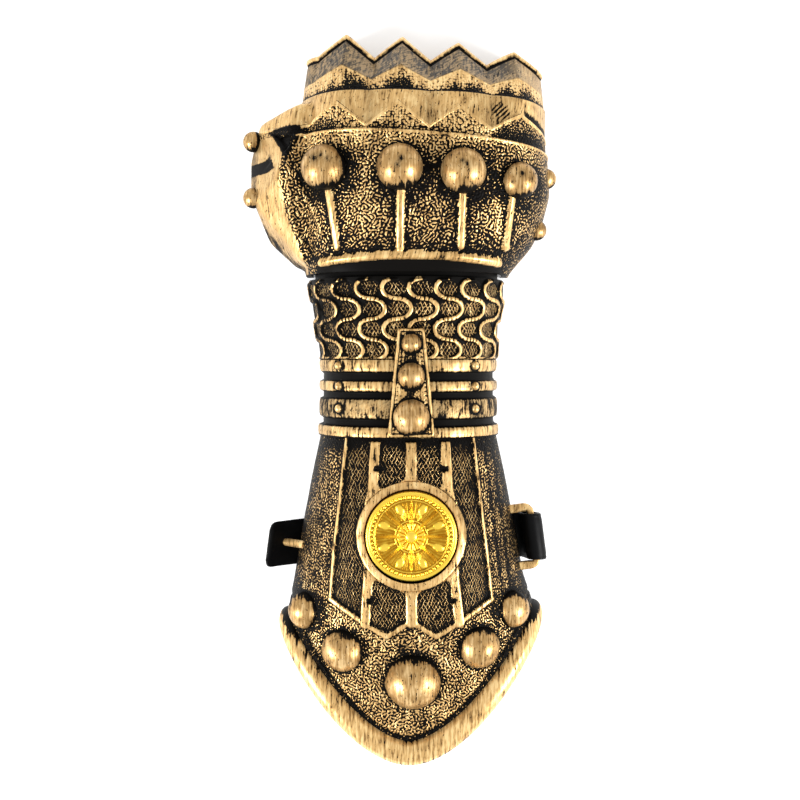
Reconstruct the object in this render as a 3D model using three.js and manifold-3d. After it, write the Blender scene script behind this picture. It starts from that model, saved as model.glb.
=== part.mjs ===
// An armoured gauntlet for the right hand: a clenched-fist hand guard with pointed finger plates
// and ball studs, a forearm guard with a mail cuff, wrist bands and a rolled elbow rim, a medallion
// in a round frame, and a strap that closes the open back from a loop to a peg.
//
// Millimetres. +X is the wearer's little-finger side, +Y runs from the elbow to the knuckles and +Z
// is up. The gauntlet lies on its open back: the floor is z = 0 and the origin is on it, under the
// middle of the bounding box.

import * as THREE from "three";
import { mergeVertices } from "three/addons/utils/BufferGeometryUtils.js";
import { ConvexGeometry } from "three/addons/geometries/ConvexGeometry.js";
import Module from "manifold-3d";

const wasm = await Module();
wasm.setup();

// ---------------------------------------------------------------- driving sizes

const GAP = 0.3; // clearance between neighbouring pieces
const WALL = 2.5; // thickness of both moulded shells
const BELOW = 6; // how far cutting solids run past the floor
const DEEP = -40; // a level well inside both shells
const FAR = { side: 90, behind: -260, ahead: 220, high: 90, low: 36 }; // reach of the cutting blocks
const MERGE = 1e-3; // corners closer than this are one

const FINGER_PITCH = 26.8;
const FIRST_FINGER_X = -26.8; // centre of the index finger plate
const FINGER_COUNT = 4;
const OUTER_WAVE = 0.2; // how far the outer ends of a pointed row come forward, of a whole point
const OUTER_FROM = 0.45; // where those ends begin, in finger pitches beyond the outer fingers
const POINT_FADE = 0.3; // how much shorter the little finger's points are than the index finger's

// The hand guard, from the wrist to the finger tips. A row is one rib over the hand: y is where it
// meets the thumb side, zig how much further its finger points reach, bend how far it falls back by
// the little finger, crown its height over a finger and dip how much lower it lies between two.
const HAND_ROWS = [
  { y: 55, zig: 0, bend: 0, left: -44, right: 50.5, crown: 51, dip: 0 },
  { y: 60, zig: 0, bend: 0.5, left: -46, right: 54.5, crown: 54.5, dip: 0 },
  { y: 70, zig: 0, bend: 1.5, left: -47.5, right: 62, crown: 59, dip: 0 },
  { y: 82, zig: 0, bend: 3, left: -49, right: 66.6, crown: 63, dip: 0 },
  { y: 98, zig: 0, bend: 5, left: -50, right: 70, crown: 66, dip: 0 },
  { y: 116.1, zig: 0, bend: 5.6, left: -49.5, right: 68.8, crown: 68, dip: 0 }, // edge of the back
  { y: 116.5, zig: 0, bend: 5.6, left: -48.4, right: 68.2, crown: 66.2, dip: 0 },
  { y: 117.4, zig: 11.6, bend: 1.9, left: -48, right: 68, crown: 64.6, dip: -1.7 }, // knuckle points
  { y: 117.8, zig: 11.8, bend: 1.9, left: -47.6, right: 67.8, crown: 63.2, dip: -1.4 },
  { y: 134, zig: 0, bend: 3, left: -46.6, right: 68.2, crown: 60.8, dip: 2.2 }, // edge of the finger plate
  { y: 134.4, zig: 0, bend: 3, left: -46, right: 67.6, crown: 58.8, dip: 2.1 },
  { y: 140, zig: 7.5, bend: 3.3, left: -45.4, right: 67.4, crown: 51.5, dip: -0.8 }, // fingertip ridge
  { y: 155.2, zig: 11.2, bend: 4.6, left: -43.8, right: 67, crown: 22, dip: 0 }, // pointed front edge
];
const FINGER_EDGE_ROW = 9; // number of the row at the edge of the finger plate
const HAND_SQUARENESS = 3; // exponent of the superellipse across the hand
const HAND_FOOT_END = 140; // where the block's corners below the floor end
const WALL_FACETS = { left: [0.3], right: [0.68, 0.5, 0.25] }; // heights of the walls' facets, of the crown
const DROOP_POWER = 1.5; // how soon the ribs fall back towards the little finger
const HAND_HOLLOW_ROWS = [
  { y: 48, zig: 0, bend: 0, left: -40.9, right: 47.4, crown: 47.8, dip: 0 },
  { y: 55, zig: 0, bend: 0, left: -41.2, right: 47.8, crown: 48.2, dip: 0 },
  { y: 70, zig: 0, bend: 1.5, left: -44.8, right: 59, crown: 55.8, dip: 0 },
  { y: 98, zig: 0, bend: 5, left: -47.2, right: 67, crown: 62.6, dip: 0 },
  { y: 115, zig: 0, bend: 6, left: -45.6, right: 65.4, crown: 62, dip: 0 },
  { y: 130, zig: 0, bend: 3.2, left: -43.8, right: 64.8, crown: 54.4, dip: 0 },
  { y: 137, zig: 0, bend: 3.6, left: -42.6, right: 64.4, crown: 47.6, dip: 0 },
  { y: 151.4, zig: 0, bend: 4.6, left: -40.6, right: 63.8, crown: 19, dip: 0 },
];

// The thumb side of the hand guard is a faceted lump: the corners of its outer facets.
const THUMB_CORNERS = [
  { x: -45, y: 131.7, z: 44 }, // root at the index finger
  { x: -64.2, y: 123.9, z: 28 }, // outer end of the tip slope
  { x: -60.2, y: 117.1, z: 36 }, // tip of the thumb plate
  { x: -50.8, y: 107.7, z: 51 }, // thumb plate at the back plate
  { x: -69.4, y: 108, z: 20 }, // upper side
  { x: -69.4, y: 93, z: 20 }, // lower side
  { x: -66.2, y: 86.1, z: 30 }, // side ridge
  { x: -54.1, y: 97.8, z: 48 }, // front ridge
  { x: -43, y: 59, z: 36 }, // front facet at the wrist
  { x: -61, y: 70.3, z: 12 }, // side facet at the wrist
  { x: -46.4, y: 57, z: 12 }, // heel of the thumb
];
const THUMB_FOOT = [
  { x: -46, y: 130, z: 0 },
  { x: -62, y: 122, z: 0 },
  { x: -67.6, y: 108, z: 0 },
  { x: -67.6, y: 93, z: 0 },
  { x: -60, y: 71, z: 0 },
  { x: -46.6, y: 58, z: 0 },
];
const THUMB_ROOT = { x: 8, ends: [60, 127], top: 36 }; // where the lump runs on inside the hand
const THUMB_HOLLOW = { scale: 0.9, about: { x: -36, y: 97 } };

// Balls on the hand guard: x, y of the centre and radius; rise lifts the centre above the skin.
const KNUCKLE_STUDS = [
  { name: "knuckle_stud_index", x: -33.2, y: 99.6, radius: 10, rise: 2.5 },
  { name: "knuckle_stud_middle", x: -0.2, y: 98.6, radius: 10, rise: 2.5 },
  { name: "knuckle_stud_ring", x: 27.2, y: 97, radius: 9.8, rise: 2.5 },
  { name: "knuckle_stud_little", x: 52, y: 94, radius: 8, rise: 2 },
];
const SIDE_STUDS = [
  { name: "thumb_side_stud_upper", x: -67.4, y: 116, z: 26, radius: 4.8 },
  { name: "thumb_side_stud_lower", x: -67.4, y: 90.2, z: 26, radius: 4.8 },
  { name: "little_side_stud_upper", x: 67, y: 98.9, z: 26, radius: 4.8 },
  { name: "little_side_stud_lower", x: 62.6, y: 75.4, z: 26, radius: 4.8 },
];
// Raised ribs that run from the knuckle studs towards the wrist.
const KNUCKLE_RIBS = [
  { from: [-31, 90], to: [-27.4, 65.6], width: 2.8 },
  { from: [0.2, 89.5], to: [0, 65.2], width: 3.2 },
  { from: [27, 88.5], to: [26.6, 66], width: 3 },
  { from: [48.8, 87], to: [46.6, 66.5], width: 2.6 },
];
const RIB_LIFT = 1.5;
const WRIST_BAR = { left: -34.5, right: 43.5, y: 59.6, bow: 2.6, width: 3.8, lift: 1.9, pieces: 8 };
const STRIP_STEP = 9; // longest straight piece of a raised strip

// The forearm guard, from the neck inside the hand guard to past the elbow tip.
const NECK = { from: 64, to: 53, left: -40.4, right: 46.4, crown: 47.2, overlap: 3 };
const FOREARM_ROWS = [
  { y: 52.8, left: -43.4, right: 49, crown: 48.6 },
  { y: 44, left: -42, right: 49, crown: 48 },
  { y: 32.6, left: -40.2, right: 46.5, crown: 47.5 },
  { y: 21, left: -38.3, right: 46, crown: 47 },
  { y: 10, left: -37.4, right: 45.2, crown: 47 },
  { y: -19, left: -37.6, right: 45.5, crown: 47.5 },
  { y: -31, left: -40.2, right: 48.2, crown: 49.4 },
  { y: -53.6, left: -44.9, right: 52.9, crown: 51.3 },
  { y: -70, left: -47.8, right: 56, crown: 51 },
  { y: -83.5, left: -50.1, right: 58.5, crown: 50 },
  { y: -96, left: -52, right: 62.2, crown: 48.4 },
  { y: -110, left: -54.4, right: 65.6, crown: 46 },
  { y: -130, left: -58, right: 69, crown: 42 },
  { y: -170, left: -62, right: 72, crown: 34 },
];
const FOREARM_SQUARENESS = 2.4;
const ACROSS = 20; // facets across the forearm
// Rows of its hollow; under the wrist bands, whose grooves cut in, the hollow lies deeper by extra.
const FOREARM_HOLLOW = {
  ys: [53.5, 21, -19, -53.6, -83.5, -130, -175],
  bandsWithin: 25,
  extra: 1.3,
  across: 18,
};

// Wrist bands: lift is how far a band stands proud of the cuff, and below zero it is a groove.
const BANDS = [
  { from: 16.2, to: 10.2, lift: 0.6 },
  { from: 10.2, to: 6.4, lift: -1.1 },
  { from: 6.4, to: 1.5, lift: 0.9 },
  { from: 1.5, to: -1.6, lift: -1.1 },
  { from: -1.6, to: -10.8, lift: 0.9 },
  { from: -10.8, to: -14.2, lift: -1.1 },
  { from: -14.2, to: -19, lift: 1.4 },
];
const BAND_SLOPE = 0.5; // length over which a band's edge rises
const BAND_RIVETS = {
  angles: [-0.78, 0.72],
  ys: [13.2, 4, -6.2],
  radius: 1.9,
  lift: 0.9,
  across: 8,
  down: 4,
};

// Mail: columns of S-shaped links round the cuff, numbered from the thumb side. On top of the cuff,
// as far as topColumns from the middle, they follow a sine in plan; further out they are sideStep
// apart as an angle round the cuff.
const MAIL = {
  first: -1,
  columns: 10,
  middle: 3.4,
  spread: 1.31,
  pace: 0.2,
  topColumns: 3.5,
  sideStep: 0.35,
  pitch: 11.4, // length of a column's width
  topY: 52.2,
  rowHeight: 9.1,
  rows: 4,
  bulge: 0.54, // half width of a link, in columns
  width: 2.3,
  lift: 1.1,
  root: 0.5,
  segments: 4,
};

// The elbow end is a blunt point in plan, tipY + spread * |x - tipX| ** power; the rim rolls along it.
const ELBOW = { tipX: 4.1, tipY: -168, spread: 0.0325, power: 1.82 };
const RIM = { radius: 6, sideRadius: 4.6, sink: 1, sides: 8, stations: 24, halvings: 40 };
// Relief in the edge for the strap; shoulder is the height, of the whole, at from and to.
const STRAP_ARCH = { from: -40, to: -96, end: -104, height: 13, ramp: 12, shoulder: 0.6 };
const CUFF_EDGE = 2; // the cuff's own edge clears the floor

// Frame round the medallion, in plan.
const MEDALLION = { x: 5, y: -62.2, radius: 20.2, thickness: 3, tilt: 0.1 };
const MEDALLION_RIM = { width: 2, height: 0.8, step: 0.4, chamfer: 0.6 };
const MEDALLION_STAR = { rays: 8, inset: 3.2, valley: 0.42, height: 0.7 };
const MEDALLION_BOSS = { radius: 4, flatness: 0.45 };
const ROUND_SIDES = 40;
const FRAME_RING = { inner: 20.9, outer: 24.4, lift: 1.3, overlap: 0.8, segments: 28 };
const WELL = { depth: 4.2, floor: 2.2, wall: 2, cupTop: -0.8, clear: 12 };
// Raised bars on the forearm: centre line in plan, width and lift.
const BARS = [
  { path: [[-10.6, -21.5], [-12.2, -46]], width: 4.4, lift: 1.3 },
  { path: [[-13.8, -79], [-15.6, -99.5]], width: 4.4, lift: 1.3 },
  { path: [[19.8, -21.5], [21.4, -46]], width: 4.4, lift: 1.3 },
  { path: [[23.6, -79], [26.4, -99.5]], width: 4.4, lift: 1.3 },
  { path: [[5, -21.5], [5, -38.4]], width: 4.8, lift: 1.3 },
  { path: [[5, -86], [5.2, -100.5]], width: 5, lift: 1.3 },
  { path: [[-23.6, -21.5], [-26.6, -47], [-29.4, -70], [-31, -91]], width: 1.8, lift: 1.2 },
  { path: [[32.6, -21.5], [35.6, -47], [38.6, -70], [40.8, -91]], width: 1.8, lift: 1.2 },
];
// Lower edge of the hatched panels, a zigzag ridge.
const PANEL_EDGE = {
  path: [
    [-31, -91.4], [-14.6, -102.2], [-5.8, -107.2], [5.1, -100.2], [16, -107.2], [25.6, -101.6], [40.8, -91.4],
  ],
  width: 2,
  lift: 1.1,
};

const ELBOW_STUDS = [
  { name: "elbow_stud_outer_left", x: -42.6, y: -98.6, radius: 8.6, rise: -2.4 },
  { name: "elbow_stud_inner_left", x: -25.4, y: -114.4, radius: 10, rise: -2.4 },
  { name: "elbow_stud_centre", x: 5.8, y: -127.8, radius: 13, rise: -2.6 },
  { name: "elbow_stud_inner_right", x: 35.2, y: -112.8, radius: 9.8, rise: -2.4 },
  { name: "elbow_stud_outer_right", x: 50.4, y: -97.6, radius: 8.6, rise: -2.4 },
];

// The tapered plate on the wrist bands and its three studs.
const STUD_PLATE = {
  x: 5,
  top: 30,
  bottom: -18.6,
  topWidth: 12.2,
  bottomWidth: 21.4,
  seat: 1.8, // its underside, above the skin
  lift: 3.4,
  bevel: 0.93, // width of its top, of its underside
  sections: 6,
};
const PLATE_STUDS = [
  { name: "plate_stud_small", y: 23, radius: 4.4 },
  { name: "plate_stud_middle", y: 8.7, radius: 6 },
  { name: "plate_stud_large", y: -9.6, radius: 8.1 },
];

// The strap and what it is fastened to.
const STRAP = {
  width: 21.4,
  thickness: 2,
  y: -66.4,
  leftY: -71.2,
  foldFrom: 3.2, // where the strap meets and leaves the loop's bar, as angles round it
  foldTo: -0.6,
  foldPieces: 6,
  stations: 44,
  splayFrom: 36, // where its sides begin to turn with the loop, and over what length
  splayOver: 20,
  inner: [[30, 4.4], [42, 4.6], [50, 5.8], [55.6, 9.2]], // x and z of the layer sewn on inside
  outer: [
    [61.4, 8], [56, 4.2], [49, 2.1], [38, 1.6], [-36, 1.6], [-43, 2.6], [-49, 5.2], [-56, 9.2], [-62, 13.2],
  ],
};
const LOOP = {
  x: 54.6,
  y: -67.1,
  z: 16,
  turn: 0.13, // turned out with the side of the guard
  root: 4, // how far its ends run into the guard
  reach: 9.4,
  span: 30.8,
  bar: 3.2,
  post: 4,
  thick: 3.6,
  round: 2.2,
};
const PEG = {
  foot: [-47.4, -70, 17.4],
  tip: [-56.4, -70.4, 5.4],
  root: 6, // how far it runs into the guard
  radius: 1.8,
  head: 3.1,
  headLength: 2.4,
  holeEnd: 0.4, // where the strap's hole ends before the head
};

// ---------------------------------------------------------------- solids

/** A closed mesh as a manifold-3d solid, without the triangles that have collapsed. */
function toSolid(geometry) {
  const bare = new THREE.BufferGeometry();
  bare.setAttribute("position", geometry.getAttribute("position").clone());
  if (geometry.index) bare.setIndex(geometry.index.clone());
  const merged = mergeVertices(bare, MERGE);
  const index = merged.index.array;
  const kept = [];
  for (let i = 0; i < index.length; i += 3) {
    const [a, b, c] = [index[i], index[i + 1], index[i + 2]];
    if (a !== b && b !== c && c !== a) kept.push(a, b, c);
  }
  const mesh = new wasm.Mesh({
    numProp: 3,
    vertProperties: new Float32Array(merged.getAttribute("position").array),
    triVerts: new Uint32Array(kept),
  });
  return new wasm.Manifold(mesh);
}

/** A manifold-3d solid as a geometry with flat faces. */
function toGeometry(solid) {
  const { vertProperties, triVerts } = solid.getMesh();
  const geometry = new THREE.BufferGeometry();
  geometry.setAttribute("position", new THREE.BufferAttribute(new Float32Array(vertProperties), 3));
  geometry.setIndex(new THREE.BufferAttribute(new Uint32Array(triVerts), 1));
  const flat = geometry.toNonIndexed();
  flat.computeVertexNormals();
  return flat;
}

/** Joins closed rings of equally many points into one solid, capped in the planes of the given axes. */
function loft(rings, firstAxes, lastAxes) {
  const count = rings[0].length;
  const points = rings.flat();
  const index = [];
  for (let i = 0; i + 1 < rings.length; i++) {
    for (let j = 0; j < count; j++) {
      const [a, b] = [i * count + j, i * count + ((j + 1) % count)];
      index.push(a, b, b + count, a, b + count, a + count);
    }
  }
  const lastStart = (rings.length - 1) * count;
  for (const [a, b, c] of capTriangles(rings[0], firstAxes)) index.push(c, b, a);
  for (const [a, b, c] of capTriangles(rings[rings.length - 1], lastAxes)) {
    index.push(lastStart + a, lastStart + b, lastStart + c);
  }
  return solidOf(points, index);
}

/** Triangles that fill a ring, each in the ring's own order. */
function capTriangles(ring, [u, v]) {
  const outline = ring.map((p) => new THREE.Vector2(p[u], p[v]));
  return THREE.ShapeUtils.triangulateShape(outline, []).map((triangle) => triangle.sort((a, b) => a - b));
}

/** A solid from points and triangles that all turn the same way, whichever way that is. */
function solidOf(points, index) {
  const geometry = new THREE.BufferGeometry();
  const coordinates = points.flatMap((p) => [p.x, p.y, p.z]);
  geometry.setAttribute("position", new THREE.Float32BufferAttribute(coordinates, 3));
  geometry.setIndex(index);
  const solid = toSolid(geometry);
  return solid.volume() < 0 ? toSolid(turnedOver(geometry)) : solid;
}

/** The same triangles the other way round. */
function turnedOver(geometry) {
  const index = Array.from(geometry.index.array);
  for (let i = 0; i < index.length; i += 3) [index[i + 1], index[i + 2]] = [index[i + 2], index[i + 1]];
  return geometry.clone().setIndex(index);
}

/** Sweeps four-cornered sections into a closed bar; a closed bar has no caps. */
function bar(sections, closed = false) {
  const points = sections.flat();
  const index = [];
  const steps = closed ? sections.length : sections.length - 1;
  for (let i = 0; i < steps; i++) {
    const next = (i + 1) % sections.length;
    for (let j = 0; j < 4; j++) {
      const k = (j + 1) % 4;
      index.push(i * 4 + j, i * 4 + k, next * 4 + k, i * 4 + j, next * 4 + k, next * 4 + j);
    }
  }
  if (!closed) {
    const last = (sections.length - 1) * 4;
    index.push(2, 1, 0, 3, 2, 0, last, last + 1, last + 2, last, last + 2, last + 3);
  }
  return solidOf(points, index);
}

const joined = (solids) => solids.reduce((all, solid) => all.add(solid));

/** A box between two corners. */
function blockSolid(low, high) {
  const size = high.map((v, i) => v - low[i]);
  const geometry = new THREE.BoxGeometry(...size);
  geometry.translate(...low.map((v, i) => v + size[i] / 2));
  return toSolid(geometry);
}

/** A ball whose poles are above and below its centre. */
function ballSolid({ x, y, z }, radius, across = 14, down = 7) {
  return toSolid(new THREE.SphereGeometry(radius, across, down).rotateX(Math.PI / 2).translate(x, y, z));
}

/** A solid with a clearance of GAP added on its top and sides. */
function grown(solid) {
  const shifts = [[0, 0, GAP], [GAP, 0, 0], [-GAP, 0, 0], [0, GAP, 0], [0, -GAP, 0]];
  const body = toGeometry(solid);
  return joined([solid, ...shifts.map((shift) => toSolid(body.clone().translate(...shift)))]);
}

/** A round bar between two points. */
function rodSolid(from, to, radius, sides = 12) {
  const [a, b] = [new THREE.Vector3(...from), new THREE.Vector3(...to)];
  const along = b.clone().sub(a);
  const upright = new THREE.Vector3(0, 1, 0);
  const turn = new THREE.Quaternion().setFromUnitVectors(upright, along.clone().normalize());
  const geometry = new THREE.CylinderGeometry(radius, radius, along.length(), sides).applyQuaternion(turn);
  return toSolid(geometry.translate(...a.add(b).multiplyScalar(0.5)));
}

// ---------------------------------------------------------------- skins

/** The row of a table at y: every number column between its two neighbouring rows. */
function rowAt(rows, y) {
  const falling = rows[0].y > rows[rows.length - 1].y;
  const ordered = falling ? [...rows].reverse() : rows;
  const above = ordered.findIndex((row) => row.y >= y);
  if (above === 0) return ordered[0];
  if (above < 0) return ordered[ordered.length - 1];
  const [a, b] = [ordered[above - 1], ordered[above]];
  const t = (y - a.y) / (b.y - a.y);
  return Object.fromEntries(Object.keys(a).map((key) => [key, a[key] + (b[key] - a[key]) * t]));
}

const middleOf = (row) => (row.left + row.right) / 2;
const halfOf = (row) => (row.right - row.left) / 2;

/** Height of a superellipse of height 1 at the share a of its half width. */
const arch = (a, squareness) => Math.pow(Math.max(0, 1 - Math.pow(Math.abs(a), squareness)), 1 / squareness);

/** 1 over a finger's centre line, 0 between two fingers and a little more at the outer ends. */
function fingerWave(x) {
  const place = (x - FIRST_FINGER_X) / FINGER_PITCH;
  if (place < -OUTER_FROM || place > FINGER_COUNT - 1 + OUTER_FROM) return OUTER_WAVE;
  return 1 - 2 * Math.abs(place - Math.round(place));
}

// Facets across the hand lie on the fingers' centre lines and on the grooves between them, as shares
// of the half width at the fingers; the walls get a few more.
const FINGER_ROW = HAND_ROWS[FINGER_EDGE_ROW];
const HAND_SHARES = (() => {
  const wall = (height) => Math.pow(1 - Math.pow(height, HAND_SQUARENESS), 1 / HAND_SQUARENESS);
  const top = [];
  for (let k = -0.5; k <= FINGER_COUNT - 1; k += 0.5) {
    top.push((FIRST_FINGER_X + k * FINGER_PITCH - middleOf(FINGER_ROW)) / halfOf(FINGER_ROW));
  }
  return [-1, ...WALL_FACETS.left.map((height) => -wall(height)), ...top, ...WALL_FACETS.right.map(wall), 1];
})();
const HAND_WAVES = HAND_SHARES.map((share) => fingerWave(middleOf(FINGER_ROW) + share * halfOf(FINGER_ROW)));

/** 0 over the index finger and the thumb side, 1 over the little finger. */
function droop(x) {
  const share = Math.max(0, x - FIRST_FINGER_X) / ((FINGER_COUNT - 1) * FINGER_PITCH);
  return Math.pow(share, DROOP_POWER);
}

/** The rib of one hand row, from below the left foot over the hand to below the right foot. */
function handRib(row) {
  const over = HAND_SHARES.map((share, i) => {
    const wave = HAND_WAVES[i];
    const height = row.crown * arch(share, HAND_SQUARENESS);
    const lowered = height > row.crown / 2 ? height - row.dip * (1 - wave) : height;
    const x = middleOf(row) + halfOf(row) * share;
    const point = row.zig * wave * (1 - POINT_FADE * droop(x));
    return new THREE.Vector3(x, row.y + point - row.bend * droop(x), lowered);
  });
  return footed(over, HAND_FOOT_END);
}

/** A rib with a corner below the floor at either end, no further forward than furthest. */
function footed(rib, furthest = Infinity) {
  const corner = (p) => new THREE.Vector3(p.x, Math.min(p.y, furthest), -BELOW);
  return [corner(rib[0]), ...rib, corner(rib[rib.length - 1])];
}

const ACROSS_PLANE = ["x", "z"];
const PLAN = ["x", "y"];

/** The hand guard's main form as one solid block. */
function handBlock(rows) {
  const ribs = rows.map(handRib);
  const front = ribs[ribs.length - 1].map((p) => p.clone().setZ(-BELOW));
  return loft([...ribs, front], ACROSS_PLANE, PLAN);
}

/** The faceted lump on the thumb side, running on inside the hand. */
function thumbBlock() {
  const roots = THUMB_ROOT.ends.flatMap((y) => [
    new THREE.Vector3(THUMB_ROOT.x, y, 0),
    new THREE.Vector3(THUMB_ROOT.x, y, THUMB_ROOT.top),
  ]);
  const corners = [...THUMB_CORNERS, ...THUMB_FOOT].map(({ x, y, z }) => new THREE.Vector3(x, y, z));
  return new ConvexGeometry([...corners, ...roots]);
}

/** The hollow in that lump. */
function thumbHollow() {
  const { scale, about } = THUMB_HOLLOW;
  const geometry = thumbBlock();
  geometry.translate(-about.x, -about.y, 0).scale(scale, scale, scale).translate(about.x, about.y, 0);
  return toSolid(geometry);
}

/** Point on the hand guard's back at x, y, raised by lift. */
function onHand(x, y, lift = 0) {
  const row = rowAt(HAND_ROWS, y);
  const share = (x - middleOf(row)) / halfOf(row);
  return new THREE.Vector3(x, y, row.crown * arch(share, HAND_SQUARENESS) + lift);
}

/** Point on the forearm guard at angle round it (0 over the crown) and y, raised by lift. */
function roundForearm(angle, y, lift = 0) {
  const row = rowAt(FOREARM_ROWS, y);
  const power = 2 / FOREARM_SQUARENESS;
  const [s, c] = [Math.sin(angle), Math.max(0, Math.cos(angle))];
  const share = Math.sign(s) * Math.pow(Math.abs(s), power);
  const x = middleOf(row) + (halfOf(row) + lift) * share;
  return new THREE.Vector3(x, y, (row.crown + lift) * Math.pow(c, power));
}

/** Point on the forearm guard over x, y in plan, raised by lift. */
function onForearm(x, y, lift = 0) {
  const row = rowAt(FOREARM_ROWS, y);
  const share = (x - middleOf(row)) / halfOf(row);
  return new THREE.Vector3(x, y, row.crown * arch(share, FOREARM_SQUARENESS) + lift);
}

/** A solid block under the forearm skin: stations are pairs of y and lift. */
function forearmBlock(stations, across = ACROSS) {
  const rings = stations.map(({ y, lift }) => {
    const ring = [];
    for (let i = 0; i <= across; i++) ring.push(roundForearm((i / across - 0.5) * Math.PI, y, lift));
    return footed(ring);
  });
  return loft(rings, ACROSS_PLANE, ACROSS_PLANE);
}

/** Rows of the forearm guard's outside: its own table with the bands' edges put in. */
function outerStations() {
  const bandRows = BANDS.flatMap(({ from, to, lift }) => [
    { y: from - BAND_SLOPE / 2, lift },
    { y: to + BAND_SLOPE / 2, lift },
  ]);
  const [bandsTop, bandsEnd] = [BANDS[0].from + BAND_SLOPE / 2, BANDS[BANDS.length - 1].to - BAND_SLOPE / 2];
  const plain = FOREARM_ROWS.map((row) => row.y).filter((y) => y > bandsTop + 1 || y < bandsEnd - 1);
  return [...plain, bandsTop, bandsEnd]
    .map((y) => ({ y, lift: 0 }))
    .concat(bandRows)
    .sort((a, b) => b.y - a.y);
}

// ---------------------------------------------------------------- relief

/**
 * A raised strip whose centre line is given on the skin; point(u, v, lift) finds the skin. It starts
 * root below the skin, and its top is crest times as wide as its foot.
 */
function stripSolid(path, width, lift, point, { root = 0.9, crest = 0.72, closed = false } = {}) {
  const side = (i) => {
    const before = path[closed ? (i - 1 + path.length) % path.length : Math.max(0, i - 1)];
    const after = path[closed ? (i + 1) % path.length : Math.min(path.length - 1, i + 1)];
    const [du, dv] = [after[0] - before[0], after[1] - before[1]];
    const length = Math.hypot(du, dv);
    return [-dv / length, du / length];
  };
  const sections = path.map(([u, v], i) => {
    const [nu, nv] = side(i);
    const at = (across, up) => point(u + nu * across, v + nv * across, up);
    const half = width / 2;
    return [at(-half, -root), at(half, -root), at(half * crest, lift), at(-half * crest, lift)];
  });
  return bar(sections, closed);
}

/** Points along a broken line, no further apart than step. */
function divided(line, step) {
  const out = [line[0]];
  for (let i = 1; i < line.length; i++) {
    const [a, b] = [line[i - 1], line[i]];
    const pieces = Math.max(1, Math.round(Math.hypot(b[0] - a[0], b[1] - a[1]) / step));
    for (let k = 1; k <= pieces; k++) {
      out.push([a[0] + ((b[0] - a[0]) * k) / pieces, a[1] + ((b[1] - a[1]) * k) / pieces]);
    }
  }
  return out;
}

/** The angle round the cuff of a place given as a number of mail columns. */
function mailAngle(place) {
  const out = Math.abs(place - MAIL.middle);
  const share = MAIL.spread * Math.sin(MAIL.pace * Math.min(out, MAIL.topColumns));
  const onTop = Math.asin(Math.pow(share, FOREARM_SQUARENESS / 2));
  return Math.sign(place - MAIL.middle) * (onTop + MAIL.sideStep * Math.max(0, out - MAIL.topColumns));
}

/** One column of mail: half rings that swing left and right in turn. */
function mailColumn(column) {
  const path = [];
  for (let row = 0; row < MAIL.rows; row++) {
    const way = row % 2 === 0 ? -1 : 1;
    for (let k = row === 0 ? 0 : 1; k <= MAIL.segments; k++) {
      const t = (k / MAIL.segments) * Math.PI;
      const y = MAIL.topY - MAIL.rowHeight * (row + (1 - Math.cos(t)) / 2);
      path.push([(column + way * MAIL.bulge * Math.sin(t)) * MAIL.pitch, y]);
    }
  }
  const point = (across, y, lift) => roundForearm(mailAngle(across / MAIL.pitch), y, lift);
  return stripSolid(path, MAIL.width, MAIL.lift, point, { root: MAIL.root, crest: 0 });
}

/** The small rivet heads on the wrist bands. */
function bandRivets() {
  const { angles, ys, radius, lift, across, down } = BAND_RIVETS;
  const rivet = (angle, y) => ballSolid(roundForearm(angle, y, lift), radius, across, down);
  return ys.flatMap((y) => angles.map((angle) => rivet(angle, y)));
}

// ---------------------------------------------------------------- elbow end

const elbowEdge = (x) => ELBOW.tipY + ELBOW.spread * Math.abs(x - ELBOW.tipX) ** ELBOW.power;
const elbowSlope = (x) => ELBOW.spread * ELBOW.power * Math.abs(x - ELBOW.tipX) ** (ELBOW.power - 1);

/** Where the rim's middle line crosses the skin at an angle round the forearm. */
function rimPoint(angle) {
  let y = ELBOW.tipY + RIM.radius;
  for (let i = 0; i < RIM.halvings; i++) {
    const { x } = roundForearm(angle, y);
    const reached = elbowEdge(x) + rimRadius(angle) * Math.hypot(1, elbowSlope(x));
    y += (reached - y) / 2;
  }
  return roundForearm(angle, y, -RIM.sink);
}

/** Radius of the rim at an angle round the forearm. */
function rimRadius(angle) {
  const side = Math.min(1, Math.abs(angle) / (Math.PI / 2));
  return RIM.radius + (RIM.sideRadius - RIM.radius) * side;
}

/** The rolled rim, from one foot on the floor over the elbow tip to the other. */
function rimSolid() {
  const rings = [];
  const points = [];
  for (let i = 0; i <= RIM.stations; i++) {
    const angle = (i / RIM.stations - 0.5) * Math.PI;
    points.push({ at: rimPoint(angle), radius: rimRadius(angle) });
  }
  const foot = (end) => ({ at: end.at.clone().setZ(-BELOW), radius: end.radius });
  const all = [foot(points[0]), ...points, foot(points[points.length - 1])];
  for (let i = 0; i < all.length; i++) {
    const before = all[Math.max(0, i - 1)].at;
    const after = all[Math.min(all.length - 1, i + 1)].at;
    const along = after.clone().sub(before).normalize();
    const side = new THREE.Vector3(0, 1, 0).cross(along).normalize();
    const up = along.clone().cross(side);
    const ring = [];
    for (let k = 0; k < RIM.sides; k++) {
      const turn = (k / RIM.sides) * 2 * Math.PI;
      const offset = side.clone().multiplyScalar(Math.cos(turn)).addScaledVector(up, Math.sin(turn));
      ring.push(all[i].at.clone().addScaledVector(offset, all[i].radius));
    }
    rings.push(ring);
  }
  return loft(rings, PLAN, PLAN);
}

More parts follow.
